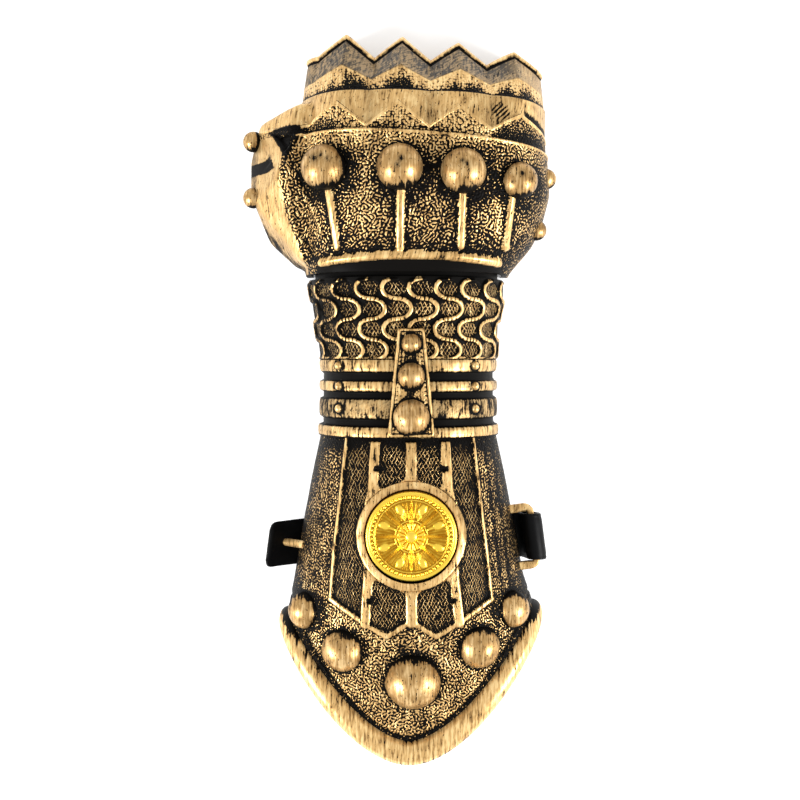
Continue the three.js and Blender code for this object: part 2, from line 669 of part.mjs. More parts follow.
/** A tall block that covers everything outside the elbow outline, set in by inset. */
function elbowCutter(inset) {
  const outline = new THREE.Shape();
  outline.moveTo(-FAR.side, FAR.behind);
  outline.lineTo(FAR.side, FAR.behind);
  for (let i = RIM.stations; i >= 0; i--) {
    const x = -FAR.side + (2 * FAR.side * i) / RIM.stations;
    outline.lineTo(x, elbowEdge(x) + inset * Math.hypot(1, elbowSlope(x)));
  }
  outline.closePath();
  const geometry = new THREE.ExtrudeGeometry(outline, { depth: FAR.low + FAR.high, bevelEnabled: false });
  return toSolid(geometry.translate(0, 0, -FAR.low));
}

/** What is taken off below the forearm guard's edge: a sliver all along, and an arch for the strap. */
function edgeCutter() {
  const { from, to, end, height, ramp, shoulder } = STRAP_ARCH;
  const profile = new THREE.Shape();
  const start = NECK.from + BELOW;
  profile.moveTo(start, -BELOW);
  profile.lineTo(start, CUFF_EDGE);
  profile.lineTo(from + ramp, CUFF_EDGE);
  profile.quadraticCurveTo(from + ramp / 3, CUFF_EDGE, from, height * shoulder);
  profile.quadraticCurveTo(from - ramp / 3, height, from - ramp, height);
  profile.lineTo(to + ramp, height);
  profile.quadraticCurveTo(to + ramp / 3, height, to, height * shoulder);
  profile.lineTo(end, CUFF_EDGE);
  profile.lineTo(end, -BELOW);
  profile.closePath();
  const options = { depth: 2 * FAR.side, bevelEnabled: false, curveSegments: 4 };
  const geometry = new THREE.ExtrudeGeometry(profile, options);
  geometry.rotateY(Math.PI / 2).rotateX(Math.PI / 2); // the profile's x runs along y, and its y along z
  return toSolid(geometry.translate(-FAR.side, 0, 0));
}

// ---------------------------------------------------------------- medallion

const seatTurn = new THREE.Matrix4().makeRotationX(MEDALLION.tilt);
const seatHeight = onForearm(MEDALLION.x, MEDALLION.y).z + FRAME_RING.lift;

/** A round block whose axis is the medallion's, from low to high above the frame's top. */
function seatBlock(radius, low, high) {
  const geometry = new THREE.CylinderGeometry(radius, radius, high - low, ROUND_SIDES);
  geometry.rotateX(Math.PI / 2).translate(0, 0, (low + high) / 2).applyMatrix4(seatTurn);
  return toSolid(geometry.translate(MEDALLION.x, MEDALLION.y, seatHeight));
}

/** The medallion: a disc with a rolled edge, an eight-rayed star and a boss, all in low relief. */
function medallionSolid() {
  const { radius, thickness: face } = MEDALLION;
  const { width, height, step, chamfer } = MEDALLION_RIM;
  const profile = [
    [0, 0], [radius, 0], [radius, face + step], [radius - chamfer, face + height],
    [radius - width + chamfer, face + height], [radius - width, face], [0, face],
  ].map(([r, z]) => new THREE.Vector2(r, z));
  const disc = toSolid(new THREE.LatheGeometry(profile, ROUND_SIDES).rotateX(Math.PI / 2));
  const star = new THREE.Shape();
  for (let i = 0; i < MEDALLION_STAR.rays * 2; i++) {
    const reach = i % 2 === 0 ? radius - MEDALLION_STAR.inset : radius * MEDALLION_STAR.valley;
    const turn = (i / MEDALLION_STAR.rays) * Math.PI;
    const [x, y] = [reach * Math.cos(turn), reach * Math.sin(turn)];
    if (i === 0) star.moveTo(x, y);
    else star.lineTo(x, y);
  }
  star.closePath();
  const rayed = new THREE.ExtrudeGeometry(star, { depth: 2 * MEDALLION_STAR.height, bevelEnabled: false });
  const boss = new THREE.SphereGeometry(MEDALLION_BOSS.radius, 16, 8).rotateX(Math.PI / 2);
  boss.scale(1, 1, MEDALLION_BOSS.flatness).translate(0, 0, face);
  return joined([disc, toSolid(rayed.translate(0, 0, face - MEDALLION_STAR.height)), toSolid(boss)]);
}

/** The medallion in its place in the well. */
function medallionGeometry() {
  const geometry = toGeometry(medallionSolid());
  geometry.translate(0, 0, -WELL.depth + GAP).applyMatrix4(seatTurn);
  return geometry.translate(MEDALLION.x, MEDALLION.y, seatHeight);
}

// ---------------------------------------------------------------- pieces

const floorBlock = blockSolid([-FAR.side, FAR.behind, -FAR.low], [FAR.side, FAR.ahead, 0]);

/** The half-round bar across the hand guard at the wrist. */
function wristBar() {
  const path = [];
  for (let i = 0; i <= WRIST_BAR.pieces; i++) {
    const t = i / WRIST_BAR.pieces;
    const rise = WRIST_BAR.bow * Math.sin(t * Math.PI);
    path.push([WRIST_BAR.left + (WRIST_BAR.right - WRIST_BAR.left) * t, WRIST_BAR.y + rise]);
  }
  return stripSolid(path, WRIST_BAR.width, WRIST_BAR.lift, onHand);
}

/** The hand guard as a full block, ribs and all. */
function handForm() {
  const ribs = KNUCKLE_RIBS.map(({ from, to, width }) => {
    return stripSolid(divided([from, to], STRIP_STEP), width, RIB_LIFT, onHand);
  });
  return joined([handBlock(HAND_ROWS), toSolid(thumbBlock()), ...ribs, wristBar()]);
}

/** The hand guard, hollow and open towards the wrist and the floor. */
function handGuard(form) {
  const hollow = handBlock(HAND_HOLLOW_ROWS).add(thumbHollow());
  return form.subtract(hollow).subtract(floorBlock);
}

/** The neck that runs on inside the hand guard, set in by shrink. */
function neckBlock(shrink = 0) {
  const ring = (y) => {
    const row = { left: NECK.left + shrink, right: NECK.right - shrink, crown: NECK.crown - shrink };
    const out = [];
    for (let i = 0; i <= ACROSS; i++) {
      const angle = (i / ACROSS - 0.5) * Math.PI;
      const power = 2 / FOREARM_SQUARENESS;
      const share = Math.sign(angle) * Math.pow(Math.abs(Math.sin(angle)), power);
      const up = Math.pow(Math.max(0, Math.cos(angle)), power);
      out.push(new THREE.Vector3(middleOf(row) + halfOf(row) * share, y, row.crown * up));
    }
    return footed(out);
  };
  return loft([ring(NECK.from + shrink), ring(NECK.to - NECK.overlap)], ACROSS_PLANE, ACROSS_PLANE);
}

/** The forearm guard as a full block with its mail, bands, frame and bars. */
function forearmForm() {
  const ring = [];
  for (let i = 0; i < FRAME_RING.segments; i++) {
    const turn = (i / FRAME_RING.segments) * 2 * Math.PI;
    const radius = (FRAME_RING.inner + FRAME_RING.outer) / 2;
    ring.push([MEDALLION.x + radius * Math.cos(turn), MEDALLION.y + radius * Math.sin(turn)]);
  }
  const frameWidth = FRAME_RING.outer - FRAME_RING.inner + FRAME_RING.overlap;
  const frame = stripSolid(ring, frameWidth, FRAME_RING.lift, onForearm, { root: 1, crest: 1, closed: true });
  const strip = ({ path, width, lift }) => stripSolid(divided(path, STRIP_STEP), width, lift, onForearm);
  const mail = Array.from({ length: MAIL.columns }, (_, i) => mailColumn(MAIL.first + i));
  const skin = forearmBlock(outerStations()).subtract(elbowCutter(RIM.radius));
  return joined([skin, neckBlock(), frame, ...BARS.map(strip), strip(PANEL_EDGE), ...mail, ...bandRivets()]);
}

/** The forearm guard, hollow and open at both ends, with its well, rolled rim and strap relief. */
function forearmGuard(form) {
  const { ys, bandsWithin, extra, across } = FOREARM_HOLLOW;
  const stations = ys.map((y) => ({ y, lift: Math.abs(y) < bandsWithin ? -WALL - extra : -WALL }));
  const hollow = forearmBlock(stations, across).add(neckBlock(WALL));
  const cupBottom = -WELL.depth - WELL.floor;
  const cup = seatBlock(FRAME_RING.inner + WELL.wall, cupBottom, WELL.cupTop);
  const well = seatBlock(FRAME_RING.inner, -WELL.depth, WELL.clear);
  const shell = joined([form.subtract(hollow), cup.intersect(forearmBlock(outerStations())), rimSolid()]);
  return shell.subtract(well).subtract(edgeCutter()).subtract(floorBlock);
}

/** The tapered plate, from low to high above the cuff. */
function plateBlock(low, high) {
  const { x, top, bottom, topWidth, bottomWidth, bevel, sections } = STUD_PLATE;
  const rings = [];
  for (let i = 0; i <= sections; i++) {
    const t = i / sections;
    const y = top + (bottom - top) * t;
    const half = (topWidth + (bottomWidth - topWidth) * t) / 2;
    const across = [-1, -0.5, 0, 0.5, 1];
    const under = across.map((share) => onForearm(x + share * half, y, low));
    const over = across.map((share) => onForearm(x + share * half * bevel, y, high));
    rings.push([...under, ...over.reverse()]);
  }
  return loft(rings, ACROSS_PLANE, ACROSS_PLANE);
}

/** The loop, a U whose ends run into the guard. */
function loopSolid() {
  const { root, reach: far, span, bar: barWidth, post, thick, round } = LOOP;
  const outline = new THREE.Shape();
  const half = span / 2;
  outline.moveTo(-root, -half);
  outline.lineTo(far - round, -half);
  outline.absarc(far - round, -half + round, round, -Math.PI / 2, 0, false);
  outline.lineTo(far, half - round);
  outline.absarc(far - round, half - round, round, 0, Math.PI / 2, false);
  outline.lineTo(-root, half);
  outline.lineTo(-root, half - post);
  outline.lineTo(far - barWidth, half - post);
  outline.lineTo(far - barWidth, -half + post);
  outline.lineTo(-root, -half + post);
  outline.closePath();
  const options = { depth: thick, bevelEnabled: false, curveSegments: 4 };
  const geometry = new THREE.ExtrudeGeometry(outline, options);
  geometry.translate(0, 0, -thick / 2).rotateZ(LOOP.turn).translate(LOOP.x, LOOP.y, LOOP.z);
  return toSolid(geometry);
}

/** The strap's middle line, from its folded end through the loop and under the guard to its tip. */
function strapPath() {
  const barX = LOOP.x + (LOOP.reach - LOOP.bar / 2) * Math.cos(LOOP.turn);
  const around = Math.hypot(LOOP.bar, LOOP.thick) / 2 + STRAP.thickness / 2 + 2 * GAP;
  const fold = [];
  for (let i = 0; i <= STRAP.foldPieces; i++) {
    const turn = STRAP.foldFrom + ((STRAP.foldTo - STRAP.foldFrom) * i) / STRAP.foldPieces;
    fold.push([barX + around * Math.cos(turn), LOOP.z + around * Math.sin(turn)]);
  }
  return [...STRAP.inner, ...fold, ...STRAP.outer];
}

/** The strap without its hole. */
function strapSolid() {
  const line = strapPath().map(([x, z]) => new THREE.Vector3(x, 0, z));
  const stations = new THREE.CatmullRomCurve3(line, false, "centripetal").getSpacedPoints(STRAP.stations);
  const [first, last] = [line[0].x, line[line.length - 1].x];
  const clamped = (t) => Math.min(1, Math.max(0, t));
  const sections = stations.map((p, i) => {
    const before = stations[Math.max(0, i - 1)];
    const after = stations[Math.min(stations.length - 1, i + 1)];
    const along = after.clone().sub(before).normalize();
    const up = new THREE.Vector3(-along.z, 0, along.x).multiplyScalar(STRAP.thickness / 2);
    const middle = STRAP.leftY + (STRAP.y - STRAP.leftY) * clamped((p.x - last) / (first - last));
    const turned = clamped((Math.abs(p.x) - STRAP.splayFrom) / STRAP.splayOver);
    const splay = -Math.sign(p.x) * Math.sin(LOOP.turn) * turned;
    const at = (side, lift) => {
      const across = (side * STRAP.width) / 2;
      return new THREE.Vector3(p.x + across * splay, middle + across, p.z).addScaledVector(up, lift);
    };
    return [at(-1, -1), at(1, -1), at(1, 1), at(-1, 1)];
  });
  return bar(sections);
}

/** A point on the peg's axis, given by its distance from the given end towards the head. */
function onPeg(end, distance) {
  const along = new THREE.Vector3(...PEG.tip).sub(new THREE.Vector3(...PEG.foot)).normalize();
  return new THREE.Vector3(...end).addScaledVector(along, distance).toArray();
}

/** The peg with its head. */
function pegSolid() {
  const shank = rodSolid(onPeg(PEG.foot, -PEG.root), PEG.tip, PEG.radius);
  return shank.add(rodSolid(PEG.tip, onPeg(PEG.tip, PEG.headLength), PEG.head));
}

/** The strap with its hole for the peg. */
function strapPiece() {
  const hole = rodSolid(PEG.foot, onPeg(PEG.tip, -PEG.holeEnd), PEG.radius + 2 * GAP);
  return strapSolid().subtract(hole);
}

// ---------------------------------------------------------------- assembly

const antique = new THREE.MeshStandardMaterial({ color: 0xb08d4c, roughness: 0.42, metalness: 0.85 });
const brightGold = new THREE.MeshStandardMaterial({ color: 0xf2c21c, roughness: 0.22, metalness: 0.9 });
const strapBlack = new THREE.MeshStandardMaterial({ color: 0x101012, roughness: 0.55, metalness: 0 });

const gauntlet = new THREE.Group();
gauntlet.name = "armoured_gauntlet";

/** Adds a piece to the gauntlet. */
function place(name, geometry, material) {
  const mesh = new THREE.Mesh(geometry, material);
  mesh.name = name;
  gauntlet.add(mesh);
}

const hand = handForm();
const forearm = forearmForm();
const handRoom = grown(hand);
const forearmRoom = grown(forearm);
const plateRoom = grown(plateBlock(DEEP, STUD_PLATE.lift));

/** Places a piece that sits on another, cut back to leave the gap between them. */
function placeSeated(name, piece, room, material) {
  place(name, toGeometry(piece.subtract(room)), material);
}

place("hand_guard", toGeometry(handGuard(hand)), antique);
place("forearm_guard", toGeometry(forearmGuard(forearm)), antique);
place("stud_plate", toGeometry(plateBlock(STUD_PLATE.seat, STUD_PLATE.lift)), antique);
place("medallion", medallionGeometry(), brightGold);

for (const { name, x, y, radius, rise } of KNUCKLE_STUDS) {
  placeSeated(name, ballSolid(onHand(x, y, rise), radius), handRoom, antique);
}
for (const { name, x, y, z, radius } of SIDE_STUDS) {
  placeSeated(name, ballSolid({ x, y, z }, radius), handRoom, antique);
}
for (const { name, x, y, radius, rise } of ELBOW_STUDS) {
  placeSeated(name, ballSolid(onForearm(x, y, rise), radius), forearmRoom, antique);
}
for (const { name, y, radius } of PLATE_STUDS) {
  placeSeated(name, ballSolid(onForearm(STUD_PLATE.x, y, STUD_PLATE.lift), radius), plateRoom, antique);
}

placeSeated("strap_loop", loopSolid(), forearmRoom, antique);
placeSeated("strap_peg", pegSolid(), forearmRoom, antique);
place("strap", toGeometry(strapPiece()), strapBlack);

export default gauntlet;
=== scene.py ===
"""Dresses an armoured gauntlet: moulded shells, mail cuff, wrist bands, ball studs, medallion and strap.

Sizes are in millimetres, in the part's own frame: +X towards the little finger, +Y towards the
knuckles, +Z up.
"""
import sys
import logging
import math
from dataclasses import dataclass, field
from enum import Enum, IntEnum

import bmesh
import bpy
import numpy as np
from mathutils import Matrix, Vector


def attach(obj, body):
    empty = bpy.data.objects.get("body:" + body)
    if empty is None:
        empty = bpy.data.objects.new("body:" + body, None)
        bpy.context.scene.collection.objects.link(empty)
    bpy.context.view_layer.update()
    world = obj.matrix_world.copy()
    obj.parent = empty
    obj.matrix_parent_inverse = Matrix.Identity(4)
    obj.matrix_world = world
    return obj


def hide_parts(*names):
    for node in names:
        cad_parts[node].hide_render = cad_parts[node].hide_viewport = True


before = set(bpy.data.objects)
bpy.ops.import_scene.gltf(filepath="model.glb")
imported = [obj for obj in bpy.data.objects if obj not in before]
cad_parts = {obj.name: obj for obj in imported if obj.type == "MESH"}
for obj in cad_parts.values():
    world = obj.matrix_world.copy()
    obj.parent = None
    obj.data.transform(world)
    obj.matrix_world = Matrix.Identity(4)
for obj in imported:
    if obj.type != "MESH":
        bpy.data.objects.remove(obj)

Array = np.ndarray
Weights = dict[str, Array]
Path = tuple[tuple[float, float], ...]
Colour = tuple[float, ...]
Triple = tuple[float, float, float]
Material = bpy.types.Material

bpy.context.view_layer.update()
MM = 0.001
WALL = 2.5
GAP = 0.3
FAR = 1e9
TINY = 1e-9

log = logging.getLogger("gauntlet")


class Grain(Enum):
    """The moulded surface patterns, by the name of the weight that holds each one's share."""

    WORM = "worm"
    PEBBLE = "pebble"
    HATCH = "hatch"


class Slot(Enum):
    """Material slots of the part's record."""

    ANTIQUE = "antique_gold"
    STUD = "stud_gold"
    MEDALLION = "medallion_gold"
    STRAP = "strap_black"


class HandRow(IntEnum):
    """Rows of the hand guard's table at which one form ends and the next begins."""

    BACK = 5
    KNUCKLES = 7
    FINGERS = 8
    PLATE = 9
    RIDGE = 11
    FRONT = 12


PAINT = "gold"
DULL = "dull"
FLAT = "flat"
SCALARS = (PAINT, DULL, Grain.WORM.value, Grain.PEBBLE.value, Grain.HATCH.value)

# Ball studs: name, x, y, radius and how far the centre lies above the shell (below it where negative).
KNUCKLE_STUDS = (
    ("knuckle_stud_index", -33.2, 99.6, 10, 2.5), ("knuckle_stud_middle", -0.2, 98.6, 10, 2.5),
    ("knuckle_stud_ring", 27.2, 97, 9.8, 2.5), ("knuckle_stud_little", 52, 94, 8, 2))
ELBOW_STUDS = (
    ("elbow_stud_outer_left", -42.6, -98.6, 8.6, -2.4), ("elbow_stud_inner_left", -25.4, -114.4, 10, -2.4),
    ("elbow_stud_centre", 5.8, -127.8, 13, -2.6), ("elbow_stud_inner_right", 35.2, -112.8, 9.8, -2.4),
    ("elbow_stud_outer_right", 50.4, -97.6, 8.6, -2.4))
# Side studs: name, x, y, z and radius. Plate studs: name, y and radius.
SIDE_STUDS = (
    ("thumb_side_stud_upper", -67.4, 116, 26, 4.8), ("thumb_side_stud_lower", -67.4, 90.2, 26, 4.8),
    ("little_side_stud_upper", 67, 98.9, 26, 4.8), ("little_side_stud_lower", 62.6, 75.4, 26, 4.8))
PLATE_STUDS = (("plate_stud_small", 23, 4.4), ("plate_stud_middle", 8.7, 6), ("plate_stud_large", -9.6, 8.1))


# ---------------------------------------------------------------- numbers

def smoothstep(low: float, high: float, value: Array) -> Array:
    """A smooth rise from 0 at low to 1 at high.

    Args:
        low: Where the rise starts; it may lie above high, for a fall.
        high: Where the rise ends.
        value: Where it is read.

    Returns:
        Numbers from 0 to 1.
    """
    t = np.clip((np.asarray(value, float) - low) / (high - low), 0, 1)
    return t * t * (3 - 2 * t)


def blurred(values: Array, radius: int, passes: int = 2) -> Array:
    """Averages a table over squares of cells.

    Args:
        values: A table in rows and columns.
        radius: Half the square's side, in cells.
        passes: How often it is averaged.

    Returns:
        A table of the same shape.
    """
    out = values
    for _ in range(passes):
        for axis in (0, 1):
            pad = [(radius + 1, radius) if k == axis else (0, 0) for k in range(out.ndim)]
            total = np.cumsum(np.pad(out, pad, mode="edge"), axis=axis)
            count = out.shape[axis]
            width = 2 * radius + 1
            high = np.take(total, np.arange(width, width + count), axis=axis)
            low = np.take(total, np.arange(count), axis=axis)
            out = (high - low) / width
    return out


def from_path(x: Array, y: Array, path: Path) -> tuple[Array, Array]:
    """Distance from a broken line in plan.

    Args:
        x, y: Where it is read.
        path: The line's corners.

    Returns:
        The distance, and the length along the line of its nearest point.
    """
    nearest = np.full(np.shape(x), FAR)
    along = np.zeros(np.shape(x))
    run = 0.0
    for (ax, ay), (bx, by) in zip(path[:-1], path[1:]):
        dx, dy = bx - ax, by - ay
        length = math.hypot(dx, dy)
        t = np.clip(((x - ax) * dx + (y - ay) * dy) / length**2, 0, 1)
        distance = np.hypot(x - ax - t * dx, y - ay - t * dy)
        closer = distance < nearest
        nearest = np.where(closer, distance, nearest)
        along = np.where(closer, run + t * length, along)
        run += length
    return nearest, along


def inside(x: Array, y: Array, corners: Path) -> Array:
    """How deep points lie inside a convex outline in plan; negative outside.

    Args:
        x, y: Where it is read.
        corners: The outline's corners, counterclockwise.

    Returns:
        The distance to the nearest side.
    """
    depth = np.full(np.shape(x), FAR)
    for (ax, ay), (bx, by) in zip(corners, corners[1:] + corners[:1]):
        dx, dy = bx - ax, by - ay
        depth = np.minimum(depth, (dx * (y - ay) - dy * (x - ax)) / math.hypot(dx, dy))
    return depth


def bead(distance: Array, width: float, lift: float, edge: float = 0.7) -> Array:
    """Height of a raised strip with rounded shoulders at a distance from its middle line."""
    return lift * smoothstep(width / 2 + edge / 2, width / 2 - edge / 2, distance)


def round_bead(distance: Array, width: float, lift: float) -> Array:
    """Height of a half-round strip at a distance from its middle line."""
    return lift * np.sqrt(np.clip(1 - (2 * distance / width) ** 2, 0, 1))


def settled(rows: Array, y: Array, spread: float) -> Array:
    """Reads a table of rows at y with its corners rounded.

    Args:
        rows: The table, with y in its first column.
        y: Where it is read.
        spread: How far round a corner reaches.

    Returns:
        A row for each y, y included.
    """
    ordered = rows[np.argsort(rows[:, 0])]
    shifts = np.linspace(-2, 2, 17)
    weights = np.exp(-shifts**2)
    out = np.zeros((len(y), rows.shape[1]))
    for column in range(rows.shape[1]):
        for shift, weight in zip(shifts, weights / weights.sum()):
            out[:, column] += weight * np.interp(y + shift * spread, ordered[:, 0], ordered[:, column])
    out[:, 0] = y
    return out


# ---------------------------------------------------------------- meshes

@dataclass
class Sheet:
    """A surface as points in rows and columns, with named weights on them."""

    points: Array
    weights: Weights = field(default_factory=dict)

    def normals(self) -> Array:
        """Unit normals, on the side that mostly faces up."""
        across = np.gradient(self.points, axis=1)
        along = np.gradient(self.points, axis=0)
        normal = np.cross(across, along)
        normal = normal / np.maximum(np.linalg.norm(normal, axis=2, keepdims=True), TINY)
        return -normal if normal[..., 2].sum() < 0 else normal

    def raised(self, height: Array) -> "Sheet":
        """The sheet with its points moved along their normals."""
        return Sheet(self.points + self.normals() * height[..., None], self.weights)

    def with_plain_weights(self, gold: float = 0.0) -> "Sheet":
        """The sheet with one paint weight all over and no grain."""
        shape = self.points.shape[:2]
        weights = {name: np.zeros(shape) for name in SCALARS}
        weights[PAINT] = np.full(shape, gold)
        weights[FLAT] = self.points * (1, 1, 0)
        return Sheet(self.points, weights)


@dataclass
class Solid:
    """One closed body: its points, triangles and quads, and named weights on the points."""

    points: Array
    triangles: Array
    quads: Array
    weights: Weights

    def outward(self) -> "Solid":
        """The same body with its faces turned outward."""
        split = np.vstack([self.triangles, self.quads[:, [0, 1, 2]], self.quads[:, [0, 2, 3]]])
        a, b, c = (self.points[split[:, k]] for k in range(3))
        if np.einsum("ij,ij->i", a, np.cross(b, c)).sum() < 0:
            return Solid(self.points, self.triangles[:, ::-1], self.quads[:, ::-1], self.weights)
        return self


def quads_of(index: Array, wrap: bool = False) -> Array:
    """Quads between neighbouring rows and columns of point numbers.

    Args:
        index: Point numbers in rows and columns.
        wrap: Whether the last column joins the first.

    Returns:
        Four point numbers for each quad.
    """
    after = np.roll(index, -1, axis=1) if wrap else index[:, 1:]
    here = index if wrap else index[:, :-1]
    return np.stack([here[:-1], after[:-1], after[1:], here[1:]], axis=-1).reshape(-1, 4)


def zipped(points: Array, first: Array, second: Array) -> list[tuple[int, int, int]]:
    """Triangles between two lines of points that may differ in number.

    Args:
        points: All points.
        first: Point numbers of the line that a sheet's quads run along.
        second: Point numbers of the line that a turned-over sheet's quads run along.

    Returns:
        Three point numbers for each triangle.
    """
    def shares(line: Array) -> Array:
        """Length along a line up to each point, from 0 to 1."""
        steps = np.linalg.norm(np.diff(points[line], axis=0), axis=1) + 1e-6
        return np.concatenate([[0], np.cumsum(steps)]) / steps.sum()

    a, b = shares(first), shares(second)
    out = []
    i = j = 0
    while i < len(first) - 1 or j < len(second) - 1:
        if j == len(second) - 1 or (i < len(first) - 1 and a[i + 1] <= b[j + 1]):
            out.append((first[i + 1], first[i], second[j]))
            i += 1
        else:
            out.append((second[j], second[j + 1], first[i]))
            j += 1
    return out


def stacked(sheets: list[Sheet]) -> tuple[Array, Weights]:
    """Points and weights of several sheets one after the other."""
    points = np.vstack([sheet.points.reshape(-1, 3) for sheet in sheets])
    weights = {name: np.concatenate([sheet.weights[name].ravel() for sheet in sheets]) for name in SCALARS}
    weights[FLAT] = np.vstack([sheet.weights[FLAT].reshape(-1, 3) for sheet in sheets])
    return points, weights


def shell(outer: Sheet, inner: Sheet) -> Solid:
    """Closes the space between an outer and an inner sheet with a strip along each edge.

    Args:
        outer: The sheet seen from outside.
        inner: The lining, with its rows and columns the same way round.

    Returns:
        The closed body.
    """
    points, weights = stacked([outer, inner])
    count = outer.points.shape[0] * outer.points.shape[1]
    top = np.arange(count).reshape(outer.points.shape[:2])
    low = count + np.arange(inner.points.shape[0] * inner.points.shape[1]).reshape(inner.points.shape[:2])
    edges = []
    for pick in (lambda t: t[0], lambda t: t[:, -1], lambda t: t[-1, ::-1], lambda t: t[::-1, 0]):
        edges += zipped(points, pick(top), pick(low))
    quads = np.vstack([quads_of(top), quads_of(low)[:, ::-1]])
    return Solid(points, np.array(edges), quads, weights).outward()


def skin_of_rings(sheet: Sheet) -> Solid:
    """Closes a sheet whose rows are rings, with a fan at either end."""
    rows, columns = sheet.points.shape[:2]
    ends = []
    for row in (0, -1):
        line = slice(row, row + 1 or None)
        weights = {name: table[line].mean(axis=1, keepdims=True) for name, table in sheet.weights.items()}
        ends.append(Sheet(sheet.points[row].mean(axis=0)[None, None], weights))
    points, weights = stacked([sheet, *ends])
    index = np.arange(rows * columns).reshape(rows, columns)
    first, last = rows * columns, rows * columns + 1
    fans = [(first, index[0, (k + 1) % columns], index[0, k]) for k in range(columns)]
    fans += [(last, index[-1, k], index[-1, (k + 1) % columns]) for k in range(columns)]
    return Solid(points, np.array(fans), quads_of(index, wrap=True), weights).outward()


def turned(profile: list[tuple[float, float]], sides: int) -> Array:
    """Rings of points round the Z axis from a profile of radius and height."""
    turn = np.linspace(0, 2 * math.pi, sides, endpoint=False)
    r, z = (np.array(column)[:, None] for column in zip(*profile))
    return np.stack([r * np.cos(turn), r * np.sin(turn), z + 0 * turn], axis=-1)


def ball(radius: float, turns: Array) -> list[tuple[float, float]]:
    """Profile of a ball at angles from its top."""
    return [(radius * math.sin(t), radius * math.cos(t)) for t in turns]


def swept(path: Array, half_width: Array, half_height: Array, up: Array, power: float, sides: int) -> Array:
    """Rings of points along a path, with a squared-off round section.

    Args:
        path: Points of the middle line.
        half_width: Half the section's width at each point.
        half_height: Half its height at each point.
        up: The section's height direction, one for all points or one for each.
        power: Squareness of the section: 2 is round.
        sides: Points round the section.

    Returns:
        Points in rings and columns.
    """
    along = np.gradient(path, axis=0)
    along /= np.linalg.norm(along, axis=1, keepdims=True)
    side = np.cross(along, np.broadcast_to(up, path.shape))
    side /= np.linalg.norm(side, axis=1, keepdims=True)
    height = np.cross(side, along)
    turn = np.linspace(0, 2 * math.pi, sides, endpoint=False)
    u = np.sign(np.cos(turn)) * np.abs(np.cos(turn)) ** (2 / power)
    v = np.sign(np.sin(turn)) * np.abs(np.sin(turn)) ** (2 / power)
    return (path[:, None] + side[:, None] * (half_width[:, None] * u)[..., None]
            + height[:, None] * (half_height[:, None] * v)[..., None])


def spline(corners: Array, count: int) -> Array:
    """Evenly spaced points on a smooth curve through corners (centripetal Catmull-Rom)."""
    first, last = 2 * corners[0] - corners[1], 2 * corners[-1] - corners[-2]
    points = np.vstack([first, corners, last])
    fine = []
    for p0, p1, p2, p3 in zip(points, points[1:], points[2:], points[3:]):
        t0 = 0.0
        t1 = t0 + np.linalg.norm(p1 - p0) ** 0.5
        t2 = t1 + np.linalg.norm(p2 - p1) ** 0.5
        t3 = t2 + np.linalg.norm(p3 - p2) ** 0.5
        t = np.linspace(t1, t2, 40)[:, None]
        a1 = (t1 - t) / (t1 - t0) * p0 + (t - t0) / (t1 - t0) * p1
        a2 = (t2 - t) / (t2 - t1) * p1 + (t - t1) / (t2 - t1) * p2
        a3 = (t3 - t) / (t3 - t2) * p2 + (t - t2) / (t3 - t2) * p3
        b1 = (t2 - t) / (t2 - t0) * a1 + (t - t0) / (t2 - t0) * a2
        b2 = (t3 - t) / (t3 - t1) * a2 + (t - t1) / (t3 - t1) * a3
        fine.append((t2 - t) / (t2 - t1) * b1 + (t - t1) / (t2 - t1) * b2)
    curve = np.vstack(fine)
    steps = np.concatenate([[0], np.cumsum(np.linalg.norm(np.diff(curve, axis=0), axis=1))])
    even = np.linspace(0, steps[-1], count)
    return np.stack([np.interp(even, steps, curve[:, k]) for k in range(3)], axis=1)


def show(name: str, solids: list[Solid], material: Material, nodes: list[str]) -> None:
    """Makes a Blender object of closed bodies and hangs it on the part.

    Args:
        name: The piece's name.
        solids: Its bodies, in millimetres.
        material: Its finish.
        nodes: Nodes of the part that it stands for.
    """
    starts = np.concatenate([[0], np.cumsum([len(solid.points) for solid in solids])[:-1]])
    points = np.vstack([solid.points for solid in solids]) * MM
    triangles = np.vstack([solid.triangles + start for solid, start in zip(solids, starts)]).astype(np.int32)
    quads = np.vstack([solid.quads + start for solid, start in zip(solids, starts)]).astype(np.int32)
    mesh = bpy.data.meshes.new(name)
    mesh.vertices.add(len(points))
    mesh.vertices.foreach_set("co", points.ravel())
    mesh.loops.add(triangles.size + quads.size)
    mesh.loops.foreach_set("vertex_index", np.concatenate([triangles.ravel(), quads.ravel()]))
    mesh.polygons.add(len(triangles) + len(quads))
    totals = np.concatenate([np.full(len(triangles), 3), np.full(len(quads), 4)])
    mesh.polygons.foreach_set("loop_start", np.concatenate([[0], np.cumsum(totals)[:-1]]).astype(np.int32))
    mesh.polygons.foreach_set("use_smooth", np.ones(len(totals), bool))
    mesh.update(calc_edges=True)
    mesh.validate(clean_customdata=False)
    for weight in SCALARS:
        values = np.concatenate([solid.weights[weight] for solid in solids]).astype(np.float32)
        mesh.attributes.new(weight, "FLOAT", "POINT").data.foreach_set("value", values)
    flat = np.vstack([solid.weights[FLAT] for solid in solids]).astype(np.float32)
    mesh.attributes.new(FLAT, "FLOAT_VECTOR", "POINT").data.foreach_set("vector", flat.ravel())
    mesh.set_sharp_from_angle(angle=math.radians(62))
    mesh.materials.append(material)
    piece = bpy.data.objects.new(name, mesh)
    bpy.context.scene.collection.objects.link(piece)
    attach(piece, "root")
    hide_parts(*nodes)
    log.info("%s: %d triangles", name, len(triangles) + 2 * len(quads))


# ---------------------------------------------------------------- finishes

